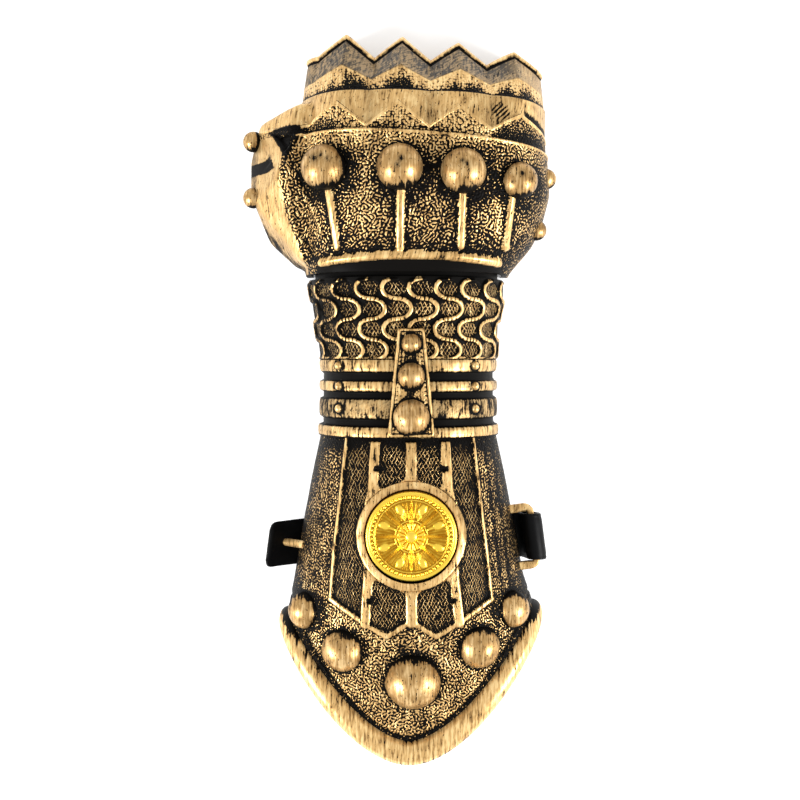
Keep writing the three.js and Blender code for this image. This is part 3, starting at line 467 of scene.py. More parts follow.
@dataclass(frozen=True)
class Socket:
    """A node's output, with arithmetic that adds Math nodes to its graph."""

    graph: "Graph"
    link: bpy.types.NodeSocket

    def math(self, operation: str, *values: object) -> "Socket":
        """One Math node of this value and others."""
        return self.graph.add("ShaderNodeMath", {"operation": operation}, dict(enumerate([self, *values])))

    def __add__(self, other: object) -> "Socket":
        """This value plus another."""
        return self.math("ADD", other)

    def __radd__(self, other: float) -> "Socket":
        """A number plus this value."""
        return self.math("ADD", other)

    def __sub__(self, other: object) -> "Socket":
        """This value less another."""
        return self.math("SUBTRACT", other)

    def __rsub__(self, other: float) -> "Socket":
        """A number less this value."""
        return self.graph.add("ShaderNodeMath", {"operation": "SUBTRACT"}, {0: other, 1: self})

    def __mul__(self, other: object) -> "Socket":
        """This value times another."""
        return self.math("MULTIPLY", other)

    def __rmul__(self, other: float) -> "Socket":
        """A number times this value."""
        return self.math("MULTIPLY", other)

    def least(self, other: object) -> "Socket":
        """The lesser of this value and another."""
        return self.math("MINIMUM", other)

    def most(self, other: object) -> "Socket":
        """The greater of this value and another."""
        return self.math("MAXIMUM", other)

    def rise(self, low: float, high: float) -> "Socket":
        """A smooth rise from 0 at low to 1 at high."""
        sockets = {"Value": self, "From Min": low, "From Max": high}
        return self.graph.add("ShaderNodeMapRange", {"interpolation_type": "SMOOTHSTEP"}, sockets)


class Graph:
    """The node graph of one material."""

    def __init__(self, name: str) -> None:
        """Starts an empty graph for the material of that name."""
        self.material = bpy.data.materials.new(name)
        self.material.use_nodes = True
        self.tree = self.material.node_tree
        self.tree.nodes.clear()

    def add(self, kind: str, settings: dict[str, object], sockets: dict[object, object],
            output: object = 0) -> Socket:
        """Adds a node.

        Args:
            kind: The node's type.
            settings: Properties that are set before its sockets.
            sockets: Values or links of its inputs, by name or number.
            output: The output that is wanted, by name or number.

        Returns:
            That output.
        """
        node = self.tree.nodes.new(kind)
        for key, value in settings.items():
            setattr(node, key, value)
        for key, value in sockets.items():
            if isinstance(value, Socket):
                self.tree.links.new(value.link, node.inputs[key])
            else:
                node.inputs[key].default_value = value
        return Socket(self, node.outputs[output])

    def weight(self, name: str) -> Socket:
        """A weight stored on the mesh."""
        return self.add("ShaderNodeAttribute", {"attribute_name": name}, {}, "Fac")

    def place(self, scale: Triple) -> Socket:
        """The flattened place on the surface, in millimetres, scaled."""
        flat = self.add("ShaderNodeAttribute", {"attribute_name": FLAT}, {}, "Vector")
        return self.add("ShaderNodeVectorMath", {"operation": "MULTIPLY"}, {0: flat, 1: scale})

    def noise(self, where: Socket, scale: float, detail: float = 3.0, rough: float = 0.55) -> Socket:
        """Soft noise from 0 to 1 at a place."""
        sockets = {"Vector": where, "Scale": scale, "Detail": detail, "Roughness": rough}
        return self.add("ShaderNodeTexNoise", {"noise_dimensions": "2D"}, sockets)

    def blend(self, share: Socket, low: Colour | Socket, high: Colour | Socket) -> Socket:
        """A mix of two colours."""
        return self.add("ShaderNodeMix", {"data_type": "RGBA"}, {0: share, 6: low, 7: high}, 2)

    def surface(self, sockets: dict[object, object], bump: Socket | None = None,
                depth: float = 0.0) -> Material:
        """Ends the graph in a plastic or metal surface.

        Args:
            sockets: Values or links of the surface shader.
            bump: Height that the light sees, from 0 to 1.
            depth: How deep that height is, in metres.

        Returns:
            The material.
        """
        if bump is not None:
            normal = self.add("ShaderNodeBump", {}, {"Height": bump, "Distance": depth, "Strength": 1.0})
            sockets = {**sockets, "Normal": normal}
        shader = self.add("ShaderNodeBsdfPrincipled", {}, sockets)
        end = self.tree.nodes.new("ShaderNodeOutputMaterial")
        self.tree.links.new(shader.link, end.inputs["Surface"])
        return self.material


@dataclass(frozen=True)
class AntiqueGold:
    """Black plastic with a moulded grain, dry-brushed with antique gold."""

    name: str = "antique_gold"
    black: Colour = (0.0030, 0.0026, 0.0022, 1)
    shade: Colour = (0.26, 0.150, 0.055, 1)
    gold: Colour = (0.62, 0.385, 0.150, 1)
    bright: Colour = (0.84, 0.60, 0.28, 1)
    dull: Colour = (0.310, 0.205, 0.092, 1)
    dark_dull: Colour = (0.030, 0.022, 0.013, 1)
    streak: float = 1.0
    streak_width: float = 1.05
    mottle: float = 1.0
    scuffs: float = 1.0
    worm_pitch: float = 1.48
    pebble_pitch: float = 1.15
    hatch_pitch: float = 1.65
    relief: float = 0.00036

    def material(self) -> Material:
        """Builds the finish."""
        g = Graph(self.name)
        paint, dull = g.weight(PAINT), g.weight(DULL)
        worm, pebble, hatch = (g.weight(grain.value) for grain in Grain)
        flat = g.place((1, 1, 1))
        grained = (worm + pebble + hatch).least(1.0)
        height = self.worms(g, flat) * worm + self.pebbles(g, flat) * pebble + self.hatching(g, flat) * hatch
        streaks = g.noise(g.place((1 / self.streak_width, 0.12, 1)), 1.0, 3.0, 0.6)
        strokes = g.noise(g.place((0.5, 0.2, 1)), 1.0, 2.0, 0.6)
        blotches = g.noise(flat, 0.11, 3.0, 0.6)
        specks = g.noise(flat, 0.9, 2.0, 0.55)
        pits = g.noise(g.place((1.15, 0.5, 1)), 1.0, 2.0, 0.6)
        gashes = g.noise(g.place((0.75, 0.14, 1)), 1.0, 3.0, 0.65)
        brush = ((streaks - 0.5) * (1.4 * self.streak) + (blotches - 0.5) * (1.2 * self.mottle)
                 + (strokes - 0.5) * 1.1 + (specks - 0.5) * 0.7)
        scuffs = (pits.rise(0.33, 0.27) + gashes.rise(0.32, 0.25)) * self.scuffs
        pressed = (paint - 0.5) * 2.0 + brush * (1.0 - 0.35 * grained) - scuffs * (1.0 - grained)
        mask = (pressed + height * 1.1).rise(-0.16, 0.16)
        tone = ((blotches - 0.5) * 1.3 + (streaks - 0.5) * (2.3 * self.streak) + (strokes - 0.5) * 0.9
                + height * grained * 0.3 + (paint - 0.7) * 0.7 + 0.52)
        warm = g.blend(tone.rise(-0.1, 0.5), self.shade, self.gold)
        lit = g.blend(tone.rise(0.5, 1.15), warm, self.bright)
        scratched = g.blend(self.scratches(g, flat), self.dark_dull, self.dull)
        painted = g.blend(dull, lit, scratched)
        colour = g.blend(mask, self.black, painted)
        bump = (height * 0.5 + mask * 0.14 + (streaks - 0.5) * (0.12 * self.streak) * mask
                + (specks - 0.5) * 0.05)
        return g.surface({
            "Base Color": colour,
            "Metallic": mask * (0.75 - dull * 0.35),
            "Roughness": 0.46 - mask * 0.1 + (blotches - 0.5) * 0.12 + dull * 0.1,
            "Specular IOR Level": 0.035,
        }, bump, self.relief)

    def worms(self, g: Graph, flat: Socket) -> Socket:
        """Raised squiggles, from -1 in the gaps to 1 on top."""
        warp = g.add("ShaderNodeTexNoise", {"noise_dimensions": "2D"}, {
            "Vector": flat, "Scale": 0.35, "Detail": 1.0}, 1)
        bent = g.add("ShaderNodeVectorMath", {"operation": "MULTIPLY_ADD"}, {
            0: warp, 1: (1.6, 1.6, 0), 2: flat})
        gabor = g.add("ShaderNodeTexGabor", {"gabor_type": "2D"}, {
            "Vector": bent, "Scale": 1 / (self.worm_pitch * 2), "Frequency": 2.0, "Anisotropy": 0.0}, "Value")
        return ((gabor - 0.5) * 5.0).most(-1.0).least(1.0)

    def pebbles(self, g: Graph, flat: Socket) -> Socket:
        """Small raised grains, from -1 in the gaps to 1 on top."""
        cells = g.add("ShaderNodeTexVoronoi", {"voronoi_dimensions": "2D", "feature": "F1"}, {
            "Vector": flat, "Scale": 1 / self.pebble_pitch, "Randomness": 0.8}, "Distance")
        return (1.05 - cells * 2.6).most(-1.0).least(1.0)

    def hatching(self, g: Graph, flat: Socket) -> Socket:
        """Fine crossed lines, from -1 between them to 1 on top."""
        wobble = g.noise(flat, 0.16, 2.0)
        across, along = (g.add("ShaderNodeSeparateXYZ", {}, {0: flat}, axis) for axis in "XY")
        lines = []
        for way, shift in ((1.0, 0.0), (-1.0, 3.1)):
            place = (across + along * (0.58 * way)) * (1 / self.hatch_pitch) + wobble * 1.5 + shift
            wave = place.math("PINGPONG", 0.5) * 2.0
            fade = g.noise(g.place((0.6, 0.3, 1)), 1.0 + 0.3 * way, 2.0).rise(0.28, 0.5)
            lines.append(wave.rise(0.68, 1.0) * fade)
        return lines[0].most(lines[1]) * 1.6 - 0.95

    def scratches(self, g: Graph, flat: Socket) -> Socket:
        """Fine brush marks that run every way, from 0 to 1."""
        first = g.noise(g.place((0.9, 0.2, 1)), 1.0, 3.0, 0.65)
        skewed = g.add("ShaderNodeVectorRotate", {"rotation_type": "Z_AXIS"}, {
            "Vector": flat, "Angle": 0.9})
        long_way = g.add("ShaderNodeVectorMath", {"operation": "MULTIPLY"}, {
            0: skewed, 1: (1.1, 0.22, 1)})
        second = g.noise(long_way, 1.0, 3.0, 0.65)
        cloud = g.noise(flat, 0.09, 2.0)
        return ((first - 0.5) * 2.4 + (second - 0.5) * 2.4 + (cloud - 0.5) * 1.6 + 0.45).rise(0.05, 0.95)


@dataclass(frozen=True)
class MedallionGold:
    """Bright polished gold colour, with painted shade that darkens its hollows."""

    name: str = "medallion_gold"
    high: Colour = (0.96, 0.66, 0.075, 1)
    low: Colour = (0.40, 0.19, 0.007, 1)

    def material(self) -> Material:
        """Builds the finish."""
        g = Graph(self.name)
        flat = g.place((1, 1, 1))
        cloud = g.noise(flat, 0.35, 3.0)
        fine = g.noise(flat, 2.4, 3.0)
        share = (g.weight(PAINT) + (cloud - 0.5) * 0.5).rise(0.1, 0.85)
        return g.surface({
            "Base Color": g.blend(share, self.low, self.high),
            "Metallic": 0.9,
            "Roughness": 0.24 + (cloud - 0.5) * 0.14 + (1 - share) * 0.08,
        }, fine, 0.00004)


@dataclass(frozen=True)
class StrapBlack:
    """Black flexible plastic with a faint sheen."""

    name: str = "strap_black"
    colour: Colour = (0.0022, 0.0022, 0.0024, 1)
    worn: Colour = (0.005, 0.005, 0.0055, 1)

    def material(self) -> Material:
        """Builds the finish."""
        g = Graph(self.name)
        flat = g.place((1, 1, 1))
        cloud = g.noise(flat, 0.12, 4.0)
        fine = g.noise(flat, 2.0, 3.0)
        return g.surface({
            "Base Color": g.blend(cloud.rise(0.5, 0.85), self.colour, self.worn),
            "Roughness": 0.42 + (cloud - 0.5) * 0.3,
            "Specular IOR Level": 0.08,
        }, fine, 0.00006)


@dataclass(frozen=True)
class StudioFloor:
    """Pale matt floor."""

    name: str = "studio_floor"

    def material(self) -> Material:
        """Builds the finish."""
        g = Graph(self.name)
        return g.surface({"Base Color": (0.93, 0.93, 0.93, 1), "Roughness": 0.9,
                          "Emission Color": (1, 1, 1, 1), "Emission Strength": 0.25})


# ---------------------------------------------------------------- hand guard

@dataclass
class HandPlace:
    """Where each point of the hand guard's outside lies, before its relief.

    Row is its place in the table of rows, edge holds the y of some rows at each column, and shares
    the columns' shares of the half width.
    """

    x: Array
    y: Array
    z: Array
    row: Array
    edge: dict[int, Array]
    shares: Array


@dataclass
class HandGuard:
    """The clenched-fist shell with its pointed finger plates, back plate, ribs and thumb side."""

    step: float = 0.62
    pitch: float = 26.8
    first_finger: float = -26.8
    outer_wave: float = 0.2
    point_fade: float = 0.3
    squareness: float = 3.0
    rows: Array = field(default_factory=lambda: np.array([
        # y, zig, bend, left, right, crown, dip
        [55, 0, 0, -44, 50.5, 51, 0],
        [60, 0, 0.5, -46, 54.5, 54.5, 0],
        [70, 0, 1.5, -47.5, 62, 59, 0],
        [82, 0, 3, -49, 66.6, 63, 0],
        [98, 0, 5, -50, 70, 66, 0],
        [116.1, 0, 5.6, -49.5, 68.8, 68, 0],
        [116.5, 0, 5.6, -48.4, 68.2, 66.2, 0],
        [117.4, 11.6, 1.9, -48, 68, 64.6, -1.7],
        [117.8, 11.8, 1.9, -47.6, 67.8, 63.2, -1.4],
        [134, 0, 3, -46.6, 68.2, 60.8, 2.2],
        [134.4, 0, 3, -46, 67.6, 58.8, 2.1],
        [140, 7.5, 3.3, -45.4, 67.4, 51.5, -0.8],
        [155.2, 11.2, 4.6, -43.8, 67, 22, 0],
    ]))
    hollow_rows: Array = field(default_factory=lambda: np.array([
        [55, 0, 0, -41.2, 47.8, 48.2, 0],
        [70, 0, 1.5, -44.8, 59, 55.8, 0],
        [98, 0, 5, -47.2, 67, 62.6, 0],
        [115, 0, 6, -45.6, 65.4, 62, 0],
        [130, 0, 3.2, -43.8, 64.8, 54.4, 0],
        [137, 0, 3.6, -42.6, 64.4, 47.6, 0],
        [151.4, 0, 4.6, -40.6, 63.8, 19, 0],
    ]))
    thumb: Array = field(default_factory=lambda: np.array([
        [-45, 131.7, 44], [-64.2, 123.9, 28], [-60.2, 117.1, 36], [-50.8, 107.7, 51], [-69.4, 108, 20],
        [-69.4, 93, 20], [-66.2, 86.1, 30], [-54.1, 97.8, 48], [-43, 59, 36], [-61, 70.3, 12],
        [-46.4, 57, 12], [-46, 130, 0], [-62, 122, 0], [-67.6, 108, 0], [-67.6, 93, 0], [-60, 71, 0],
        [-46.6, 58, 0],
        [8, 60, 0], [8, 60, 36], [8, 127, 0], [8, 127, 36],
    ]))
    thumb_ray_x: float = 10.0
    thumb_fillet: float = 2.0
    thumb_hollow_scale: float = 0.9
    thumb_hollow_about: tuple[float, float] = (-36, 97)
    ribs: tuple[tuple[Path, float], ...] = (
        (((-31, 90), (-27.4, 65.6)), 2.8), (((0.2, 89.5), (0, 65.2)), 3.2),
        (((27, 88.5), (26.6, 66)), 3.0), (((48.8, 87), (46.6, 66.5)), 2.6))
    rib_lift: float = 1.5
    rib_knob: tuple[float, ...] = (46.6, 66.5, 4.2, 1.8)
    bar: tuple[float, ...] = (-34.5, 43.5, 59.6, 2.6, 3.8)
    plate_lips: tuple[Path, ...] = (
        ((-43.2, 116.4), (-47.6, 112.6), (-50.4, 106.9), (-49.4, 82.4), (-46, 72.9), (-40.5, 62)),
        ((-46.1, 95.2), (-38.0, 81.6), (-34, 70)))
    facet_edge: Path = (
        (-42, 58), (-45.8, 67.6), (-51.2, 84.5), (-52.8, 93), (-53.6, 100.7), (-50.8, 109), (-50.4, 125))
    recess: Path = ((-50.6, 107.6), (-46.0, 115.8), (-57.8, 117.6))
    recess_dark: Path = ((-50.4, 106.6), (-43.6, 117.2), (-45.5, 119.6), (-52, 119.4), (-57.8, 118.0))
    beside_plate: Path = (
        (-50.4, 107), (-47.6, 112.6), (-43.2, 116.4), (-80, 130), (-80, 60), (-46, 72.9), (-49.4, 82.4))
    patch: Path = ((-70, 100.8), (-60, 100.8), (-57, 102), (-58, 104.6), (-70, 104.8))
    smudge: tuple[float, ...] = (-60, 107, 2.6, 3.0)
    scribble: tuple[float, ...] = (44.5, 124, 4.0, 3.6)
    knuckle_fringe: Path = (
        (-60, -0.6), (-55, 0.1), (-45, 0.5), (-39, 0.4), (-30, 0.45), (-27, 0.2), (-20, 0.06),
        (-16, 0.1), (-13, 0.28), (-5, 0.16), (0, 0.1), (8, 0.2), (13, 0.22), (16, 0.1), (25, 0.16),
        (33, 0.08), (39, 0.06), (41, 0.35), (45, 0.6), (50, 0.7), (56, 0.75), (62, 0.5))
    fringe: Path = (
        (-40, 0.2), (-33, 0.15), (-30, 0.5), (-28, 0.1), (-26, 0.05), (-24.5, 0.65), (-20, 0.75),
        (-15.5, 0.6), (-13, 0.25), (-8, 0.2), (-4, 0.5), (-1, 0.45), (1.5, 0.68), (4, 0.6), (6, 0.25),
        (10, 0.15), (16, 0.15), (20, 0.2), (25, 0.4), (27.5, 0.1), (30, 0.5), (34, 0.5), (37, 0.15),
        (41, 0.1), (45, 0.5), (49, 0.6), (51, 0.05), (52.5, 0.05), (54, 0.45), (58, 0.5), (61, 0.3))
    fringe_least: float = 0.17

    def wave(self, x: Array) -> Array:
        """1 over a finger's centre line, 0 between two fingers and a little more at the outer ends."""
        place = (x - self.first_finger) / self.pitch
        inner = 1 - 2 * np.abs(place - np.round(place))
        ends = 1 - 1.6 * np.where(place < 0, -place, place - 3)
        return np.where((place >= 0) & (place <= 3), inner, np.maximum(ends, self.outer_wave))

    def columns(self, step: float) -> Array:
        """Shares of the half width for the columns, even along the section, exact on the finger creases."""
        row = self.rows[HandRow.PLATE]
        middle, half = (row[3] + row[4]) / 2, (row[4] - row[3]) / 2
        creases = [(self.first_finger + k * self.pitch / 2 - middle) / half for k in range(-1, 7)]
        angle = np.linspace(-math.pi / 2, math.pi / 2, 4001)
        share = np.sign(angle) * np.abs(np.sin(angle)) ** (2 / 3)
        height = np.clip(np.cos(angle), 0, 1) ** (2 / 3)
        length = np.concatenate([[0], np.cumsum(np.hypot(np.diff(share) * half, np.diff(height) * row[5]))])
        marks = np.interp([-1.0, *creases, 1.0], share, length)
        runs = []
        for a, b in zip(marks, marks[1:]):
            runs.append(np.linspace(a, b, max(3, math.ceil((b - a) / step)), endpoint=False))
        return np.interp(np.concatenate([*runs, [length[-1]]]), length, share)

    def rib(self, row: Array, shares: Array) -> Array:
        """Points of one row over the hand.

        Args:
            row: A row of the table.
            shares: Shares of the half width.

        Returns:
            One point for each share.
        """
        y, zig, bend, left, right, crown, dip = row
        base = self.rows[HandRow.PLATE]
        wave = self.wave((base[3] + base[4]) / 2 + shares * (base[4] - base[3]) / 2)
        x = (left + right) / 2 + shares * (right - left) / 2
        height = crown * np.clip(1 - np.abs(shares) ** self.squareness, 0, 1) ** (1 / self.squareness)
        share = (1 - wave) ** (1.7 if dip > 0 else 1.0)
        height = height - dip * share * smoothstep(0.4, 0.62, height / crown)
        droop = (np.maximum(0, x - self.first_finger) / (3 * self.pitch)) ** 1.5
        return np.stack([x, y + zig * wave * (1 - self.point_fade * droop) - bend * droop, height], axis=1)

    def ruled(self, rows: Array, shares: Array, step: float, smooth_rows: int) -> tuple[Array, Array]:
        """Points between the rows of a table, and each row's place in the table.

        Args:
            rows: The table.
            shares: Shares of the half width for the columns.
            step: Distance between rows.
            smooth_rows: How many of the first rows run into each other without a corner.

        Returns:
            Points in rows and columns, and the place in the table of each row of points.
        """
        curves, places = [], []
        if smooth_rows:
            ys = np.arange(rows[0, 0], rows[smooth_rows, 0], step)
            for row in settled(rows[: smooth_rows + 1], ys, 3.0):
                curves.append(self.rib(row, shares))
            places += list(np.interp(ys, rows[: smooth_rows + 1, 0], np.arange(smooth_rows + 1)))
        for k in range(smooth_rows, len(rows) - 1):
            a, b = self.rib(rows[k], shares), self.rib(rows[k + 1], shares)
            count = max(3, math.ceil(np.median(np.linalg.norm(b - a, axis=1)) / step))
            for t in np.arange(count) / count:
                curves.append(a + (b - a) * t)
                places.append(k + t)
        last = self.rib(rows[-1], shares)
        drop = max(6, math.ceil(last[:, 2].max() / (step * 1.6)))
        for t in np.arange(drop + 1) / drop:
            curves.append(last * (1, 1, 1 - t))
            places.append(len(rows) - 1 + t)
        return np.array(curves), np.array(places)

    def thumb_planes(self, corners: Array) -> tuple[Array, Array]:
        """Unit normals and offsets of the faceted lump's sides."""
        cloud = bmesh.new()
        for corner in corners:
            cloud.verts.new(corner)
        bmesh.ops.convex_hull(cloud, input=cloud.verts)
        cloud.normal_update()
        normals = np.array([face.normal for face in cloud.faces])
        offsets = np.array([face.normal.dot(face.verts[0].co) for face in cloud.faces])
        middle = corners.mean(axis=0)
        signs = np.where(normals @ middle > offsets, -1.0, 1.0)
        cloud.free()
        return normals * signs[:, None], offsets * signs

    def with_thumb(self, points: Array, corners: Array, soften: int) -> Array:
        """Swells a sheet out to the thumb's lump where that stands further out.

        Args:
            points: The sheet's points.
            corners: The lump's corners.
            soften: How far its ridges are rounded, in cells.

        Returns:
            The new points.
        """
        normals, offsets = self.thumb_planes(corners)
        centre = points * (0, 1, 0) + (self.thumb_ray_x, 0, 0)
        ray = points - centre
        reach = np.linalg.norm(ray, axis=-1)
        ray = ray / np.maximum(reach, 1e-6)[..., None]
        far = np.full(reach.shape, FAR)
        near = np.full(reach.shape, -FAR)
        for normal, offset in zip(normals, offsets):
            slope = ray @ normal
            hit = (offset - centre @ normal) / np.where(np.abs(slope) < TINY, TINY, slope)
            far = np.where(slope > 0, np.minimum(far, hit), far)
            near = np.where(slope <= 0, np.maximum(near, hit), near)
        lump = np.where((near < far) & (ray[..., 0] < 0), far, 0)
        lump = np.where(lump > 0, lump, reach - 6)
        if soften:
            lump = blurred(lump, soften, 2)
        share = np.clip(0.5 + (lump - reach) / (2 * self.thumb_fillet), 0, 1)
        joined = reach + (lump - reach) * share + self.thumb_fillet * share * (1 - share)
        return centre + ray * np.where(lump > reach - self.thumb_fillet, joined, reach)[..., None]

    def outer(self) -> Sheet:
        """The painted outside with all its relief."""
        shares = self.columns(self.step)
        points, rows = self.ruled(self.rows, shares, self.step, HandRow.BACK)
        points = self.with_thumb(points, self.thumb, 2)
        x, y, z = points[..., 0], points[..., 1], points[..., 2]
        edge = {row: y[int(np.argmin(np.abs(rows - row)))] for row in HandRow}
        at = HandPlace(x, y, z, np.broadcast_to(rows[:, None], x.shape), edge, shares)
        ridge, sunk = self.relief(at)
        return Sheet(points, self.finish(at, ridge)).raised(ridge - sunk)

    def relief(self, at: HandPlace) -> tuple[Array, Array]:
        """Relief of the ribs, lips, bars and the recess on the plain shell.

        Args:
            at: The shell's points.

        Returns:
            How far the ribs and lips stand out, and how far the rest lies in, in millimetres.
        """
        x, y, row, edge = at.x, at.y, at.row, at.edge
        ridge = np.zeros(x.shape)
        plate = row < HandRow.BACK
        for path, width in self.ribs:
            distance, _ = from_path(x, y, path)
            ridge = np.maximum(ridge, bead(distance, width, self.rib_lift, 1.1))
        knob_x, knob_y, knob_width, knob_lift = self.rib_knob
        ridge = np.maximum(ridge, round_bead(np.hypot(x - knob_x, y - knob_y), knob_width, knob_lift))
        ridge = np.maximum(ridge, round_bead(self.bar_distance(x, y), self.bar[4], self.rib_lift + 0.6))
        ridge = ridge + bead(np.abs(edge[HandRow.BACK] - 0.5 - y), 1.3, 0.4, 0.7) * plate * (x > -47)
        rolled = np.zeros(x.shape)
        for path in self.plate_lips:
            distance, _ = from_path(x, y, path)
            rolled = np.maximum(rolled, bead(distance, 1.6, 0.7, 1.0) * (x < -30))
        shoulder = from_path(x, y, self.plate_lips[0])[0]
        outside = inside(x, y, self.beside_plate)
        sunk = 0.9 * smoothstep(0.2, 1.4, outside) * smoothstep(14, 3, shoulder) * plate
        sunk = sunk + 2.4 * smoothstep(-0.2, 1.4, inside(x, y, self.recess))
        knuckle = (row > HandRow.BACK + 1) & (row < HandRow.KNUCKLES + 0.01)
        lip = np.abs(edge[HandRow.KNUCKLES] - 0.45 - y) * 0.77
        ridge = ridge + bead(lip, 0.9, 0.35, 0.6) * knuckle
        tips = (row > HandRow.RIDGE) & (row < HandRow.FRONT + 0.4)
        front = smoothstep(3, 8, at.z) * tips
        ridge = ridge + bead(np.abs(edge[HandRow.FRONT] - 1.1 - y), 2.0, 1.0, 0.8) * front
        sunk = sunk + bead(np.abs(edge[HandRow.FRONT] - 2.9 - y), 1.2, 0.5, 0.8) * front
        band = (smoothstep(HandRow.FINGERS - 0.1, HandRow.FINGERS + 0.1, row)
                * smoothstep(HandRow.PLATE + 0.05, HandRow.PLATE, row))
        last_finger = self.first_finger + 3 * self.pitch
        crease = (1 - self.wave(x)) * (x > self.first_finger) * (x < last_finger)
        sunk = sunk + 0.35 * np.clip(crease, 0, 1) ** 6 * band
        return ridge, sunk - rolled

    def finish(self, at: HandPlace, ridge: Array) -> Weights:
        """Paint and grain over the shell.

        Args:
            at: The shell's points.
            ridge: How far the ridges stand out.

        Returns:
            The weights.
        """
        x, y, z, row = at.x, at.y, at.z, at.row
        none = np.zeros(x.shape)
        ribbed = smoothstep(0.12, 0.4, ridge) * (row < HandRow.BACK)
        back_gold, back_worm = self.plate_paint(x, y, z)
        lip, knuckle_gold = self.knuckle_paint(at)
        smooth_gold, smooth_dull = self.band_paint(at)
        climb, tip_gold = self.tip_paint(at)
        slope_gold, slope_dull = self.slope_paint(at)
        regions = (
            (HandRow.BACK, back_gold, back_worm, none, none),
            (HandRow.KNUCKLES + 0.02, knuckle_gold, 0.15 * (1 - lip), 0.85 * (1 - lip), none),
            (HandRow.FINGERS, 0.1 + 0.7 * smoothstep(-54, -60, x), none, none, none),
            (HandRow.PLATE + 0.05, smooth_gold, none, none, smooth_dull),
            (HandRow.RIDGE, tip_gold, none + 0.25, 0.75 * smoothstep(1.05, 0.75, climb), none),
            (HandRow.FRONT, slope_gold, none, none, slope_dull),
            (FAR, none + 0.72, none, none, none + 0.5))
        here = [row < last for last, *_ in regions]
        layers = zip(*(region[1:] for region in regions))
        gold, worm, pebble, dull = (np.select(here, layer) for layer in layers)
        # Darker and duller low on the thumb side and on the outer side: partly the black paint there, partly
        # painted shade.
        low = smoothstep(30, 17, z) * (x < -40)
        outer_side = np.maximum(smoothstep(-63.6, -66.6, x), low) * (row < HandRow.PLATE)
        facet = (1 - worm) * smoothstep(-46, -50, x) * (row < HandRow.BACK)
        dull = np.maximum(dull, np.maximum(0.8 * outer_side, 0.3 * facet))
        gold = gold - smoothstep(-1.6, 0.4, inside(x, y, self.recess_dark))
        gold = gold - 0.35 * outer_side * smoothstep(100, 84, y)
        gold = gold - 1.1 * smoothstep(-1.6, 0.8, inside(x, y, self.patch)) * smoothstep(7, 13, z)
        gold = gold - 0.45 * self.spot(x, y, self.smudge)
        # Painted shade: darker towards the floor on the lowest part of the shell.
        gold = gold - 0.22 * smoothstep(12, 2, z)
        gold = np.where(ribbed > 0.5, 0.74, gold)
        grain = 1 - ribbed
        steps = np.hypot(np.diff(x, axis=1, prepend=x[:, :1]), np.diff(z, axis=1, prepend=z[:, :1]))
        run = np.cumsum(steps, axis=1)
        middle = int(np.argmin(np.abs(at.shares)))
        across = run - run[:, middle : middle + 1]
        along = y - 0.7 * z * (row >= HandRow.FRONT)
        return {PAINT: np.clip(gold, 0, 1), DULL: dull, Grain.WORM.value: worm * grain,
                Grain.PEBBLE.value: pebble * grain, Grain.HATCH.value: none,
                FLAT: np.stack([across, along, none], axis=-1)}

    def spot(self, x: Array, y: Array, place: tuple[float, ...]) -> Array:
        """A soft spot of height 1, given by its x, y and spread along each."""
        spot_x, spot_y, wide, long = place
        return np.exp(-(((x - spot_x) / wide) ** 2 + ((y - spot_y) / long) ** 2))

    def knuckle_paint(self, at: HandPlace) -> tuple[Array, Array]:
        """Where the lip over the knuckle points is, and the gold of the points."""
        lip = np.abs(at.edge[HandRow.KNUCKLES] - 0.45 - at.y) < 0.75
        rise = (at.y - at.edge[HandRow.BACK]) / 13.0
        foot = np.interp(at.x, *np.array(self.knuckle_fringe).T)
        return lip, np.where(lip, 0.92, np.clip(0.45 + 0.9 * (rise - foot), 0.0, 0.58))

    def band_paint(self, at: HandPlace) -> tuple[Array, Array]:
        """Gold and dullness of the smooth band of the finger plate."""
        x, y = at.x, at.y
        strokes = 0.45 + 0.55 * np.sin((x - y) * 2.8)
        gold = 0.76 - 0.75 * self.spot(x, y, self.scribble) * strokes
        beside = smoothstep(5.5, 0.5, y - at.edge[HandRow.KNUCKLES]) * smoothstep(53.4, 56.0, x)
        # Painted shade: duller brown in the valleys between the fingers.
        dull = 0.1 + 0.32 * (1 - self.wave(x)) ** 3 * (x > -40)
        return gold - 0.85 * beside, dull

    def tip_paint(self, at: HandPlace) -> tuple[Array, Array]:
        """Share of the way up to the fingertip ridge, and the gold below it."""
        low, high = at.edge[HandRow.PLATE], at.edge[HandRow.RIDGE]
        climb = (at.y - low) / (high - low + 0.2)
        fringe = np.maximum(self.fringe_least, np.interp(at.x, *np.array(self.fringe).T))
        gold = np.clip(0.5 + 1.1 * (climb - fringe), 0, 0.8)
        # Dark just past the step line: partly black left below the step, partly the step's painted shadow.
        return climb, gold - 0.7 * smoothstep(0.2, 0.05, climb)

    def slope_paint(self, at: HandPlace) -> tuple[Array, Array]:
        """Gold and dullness of the front slope with its bright edge and dark line."""
        front = at.edge[HandRow.FRONT] - at.y
        bright = np.abs(front - 1.1) < 0.95
        gold = np.where(np.abs(front - 2.9) < 0.75, 0.0, np.where(bright, 0.95, 0.74))
        return gold, np.where(bright, 0.0, 1.0 - 0.45 * smoothstep(46, 60, at.x))

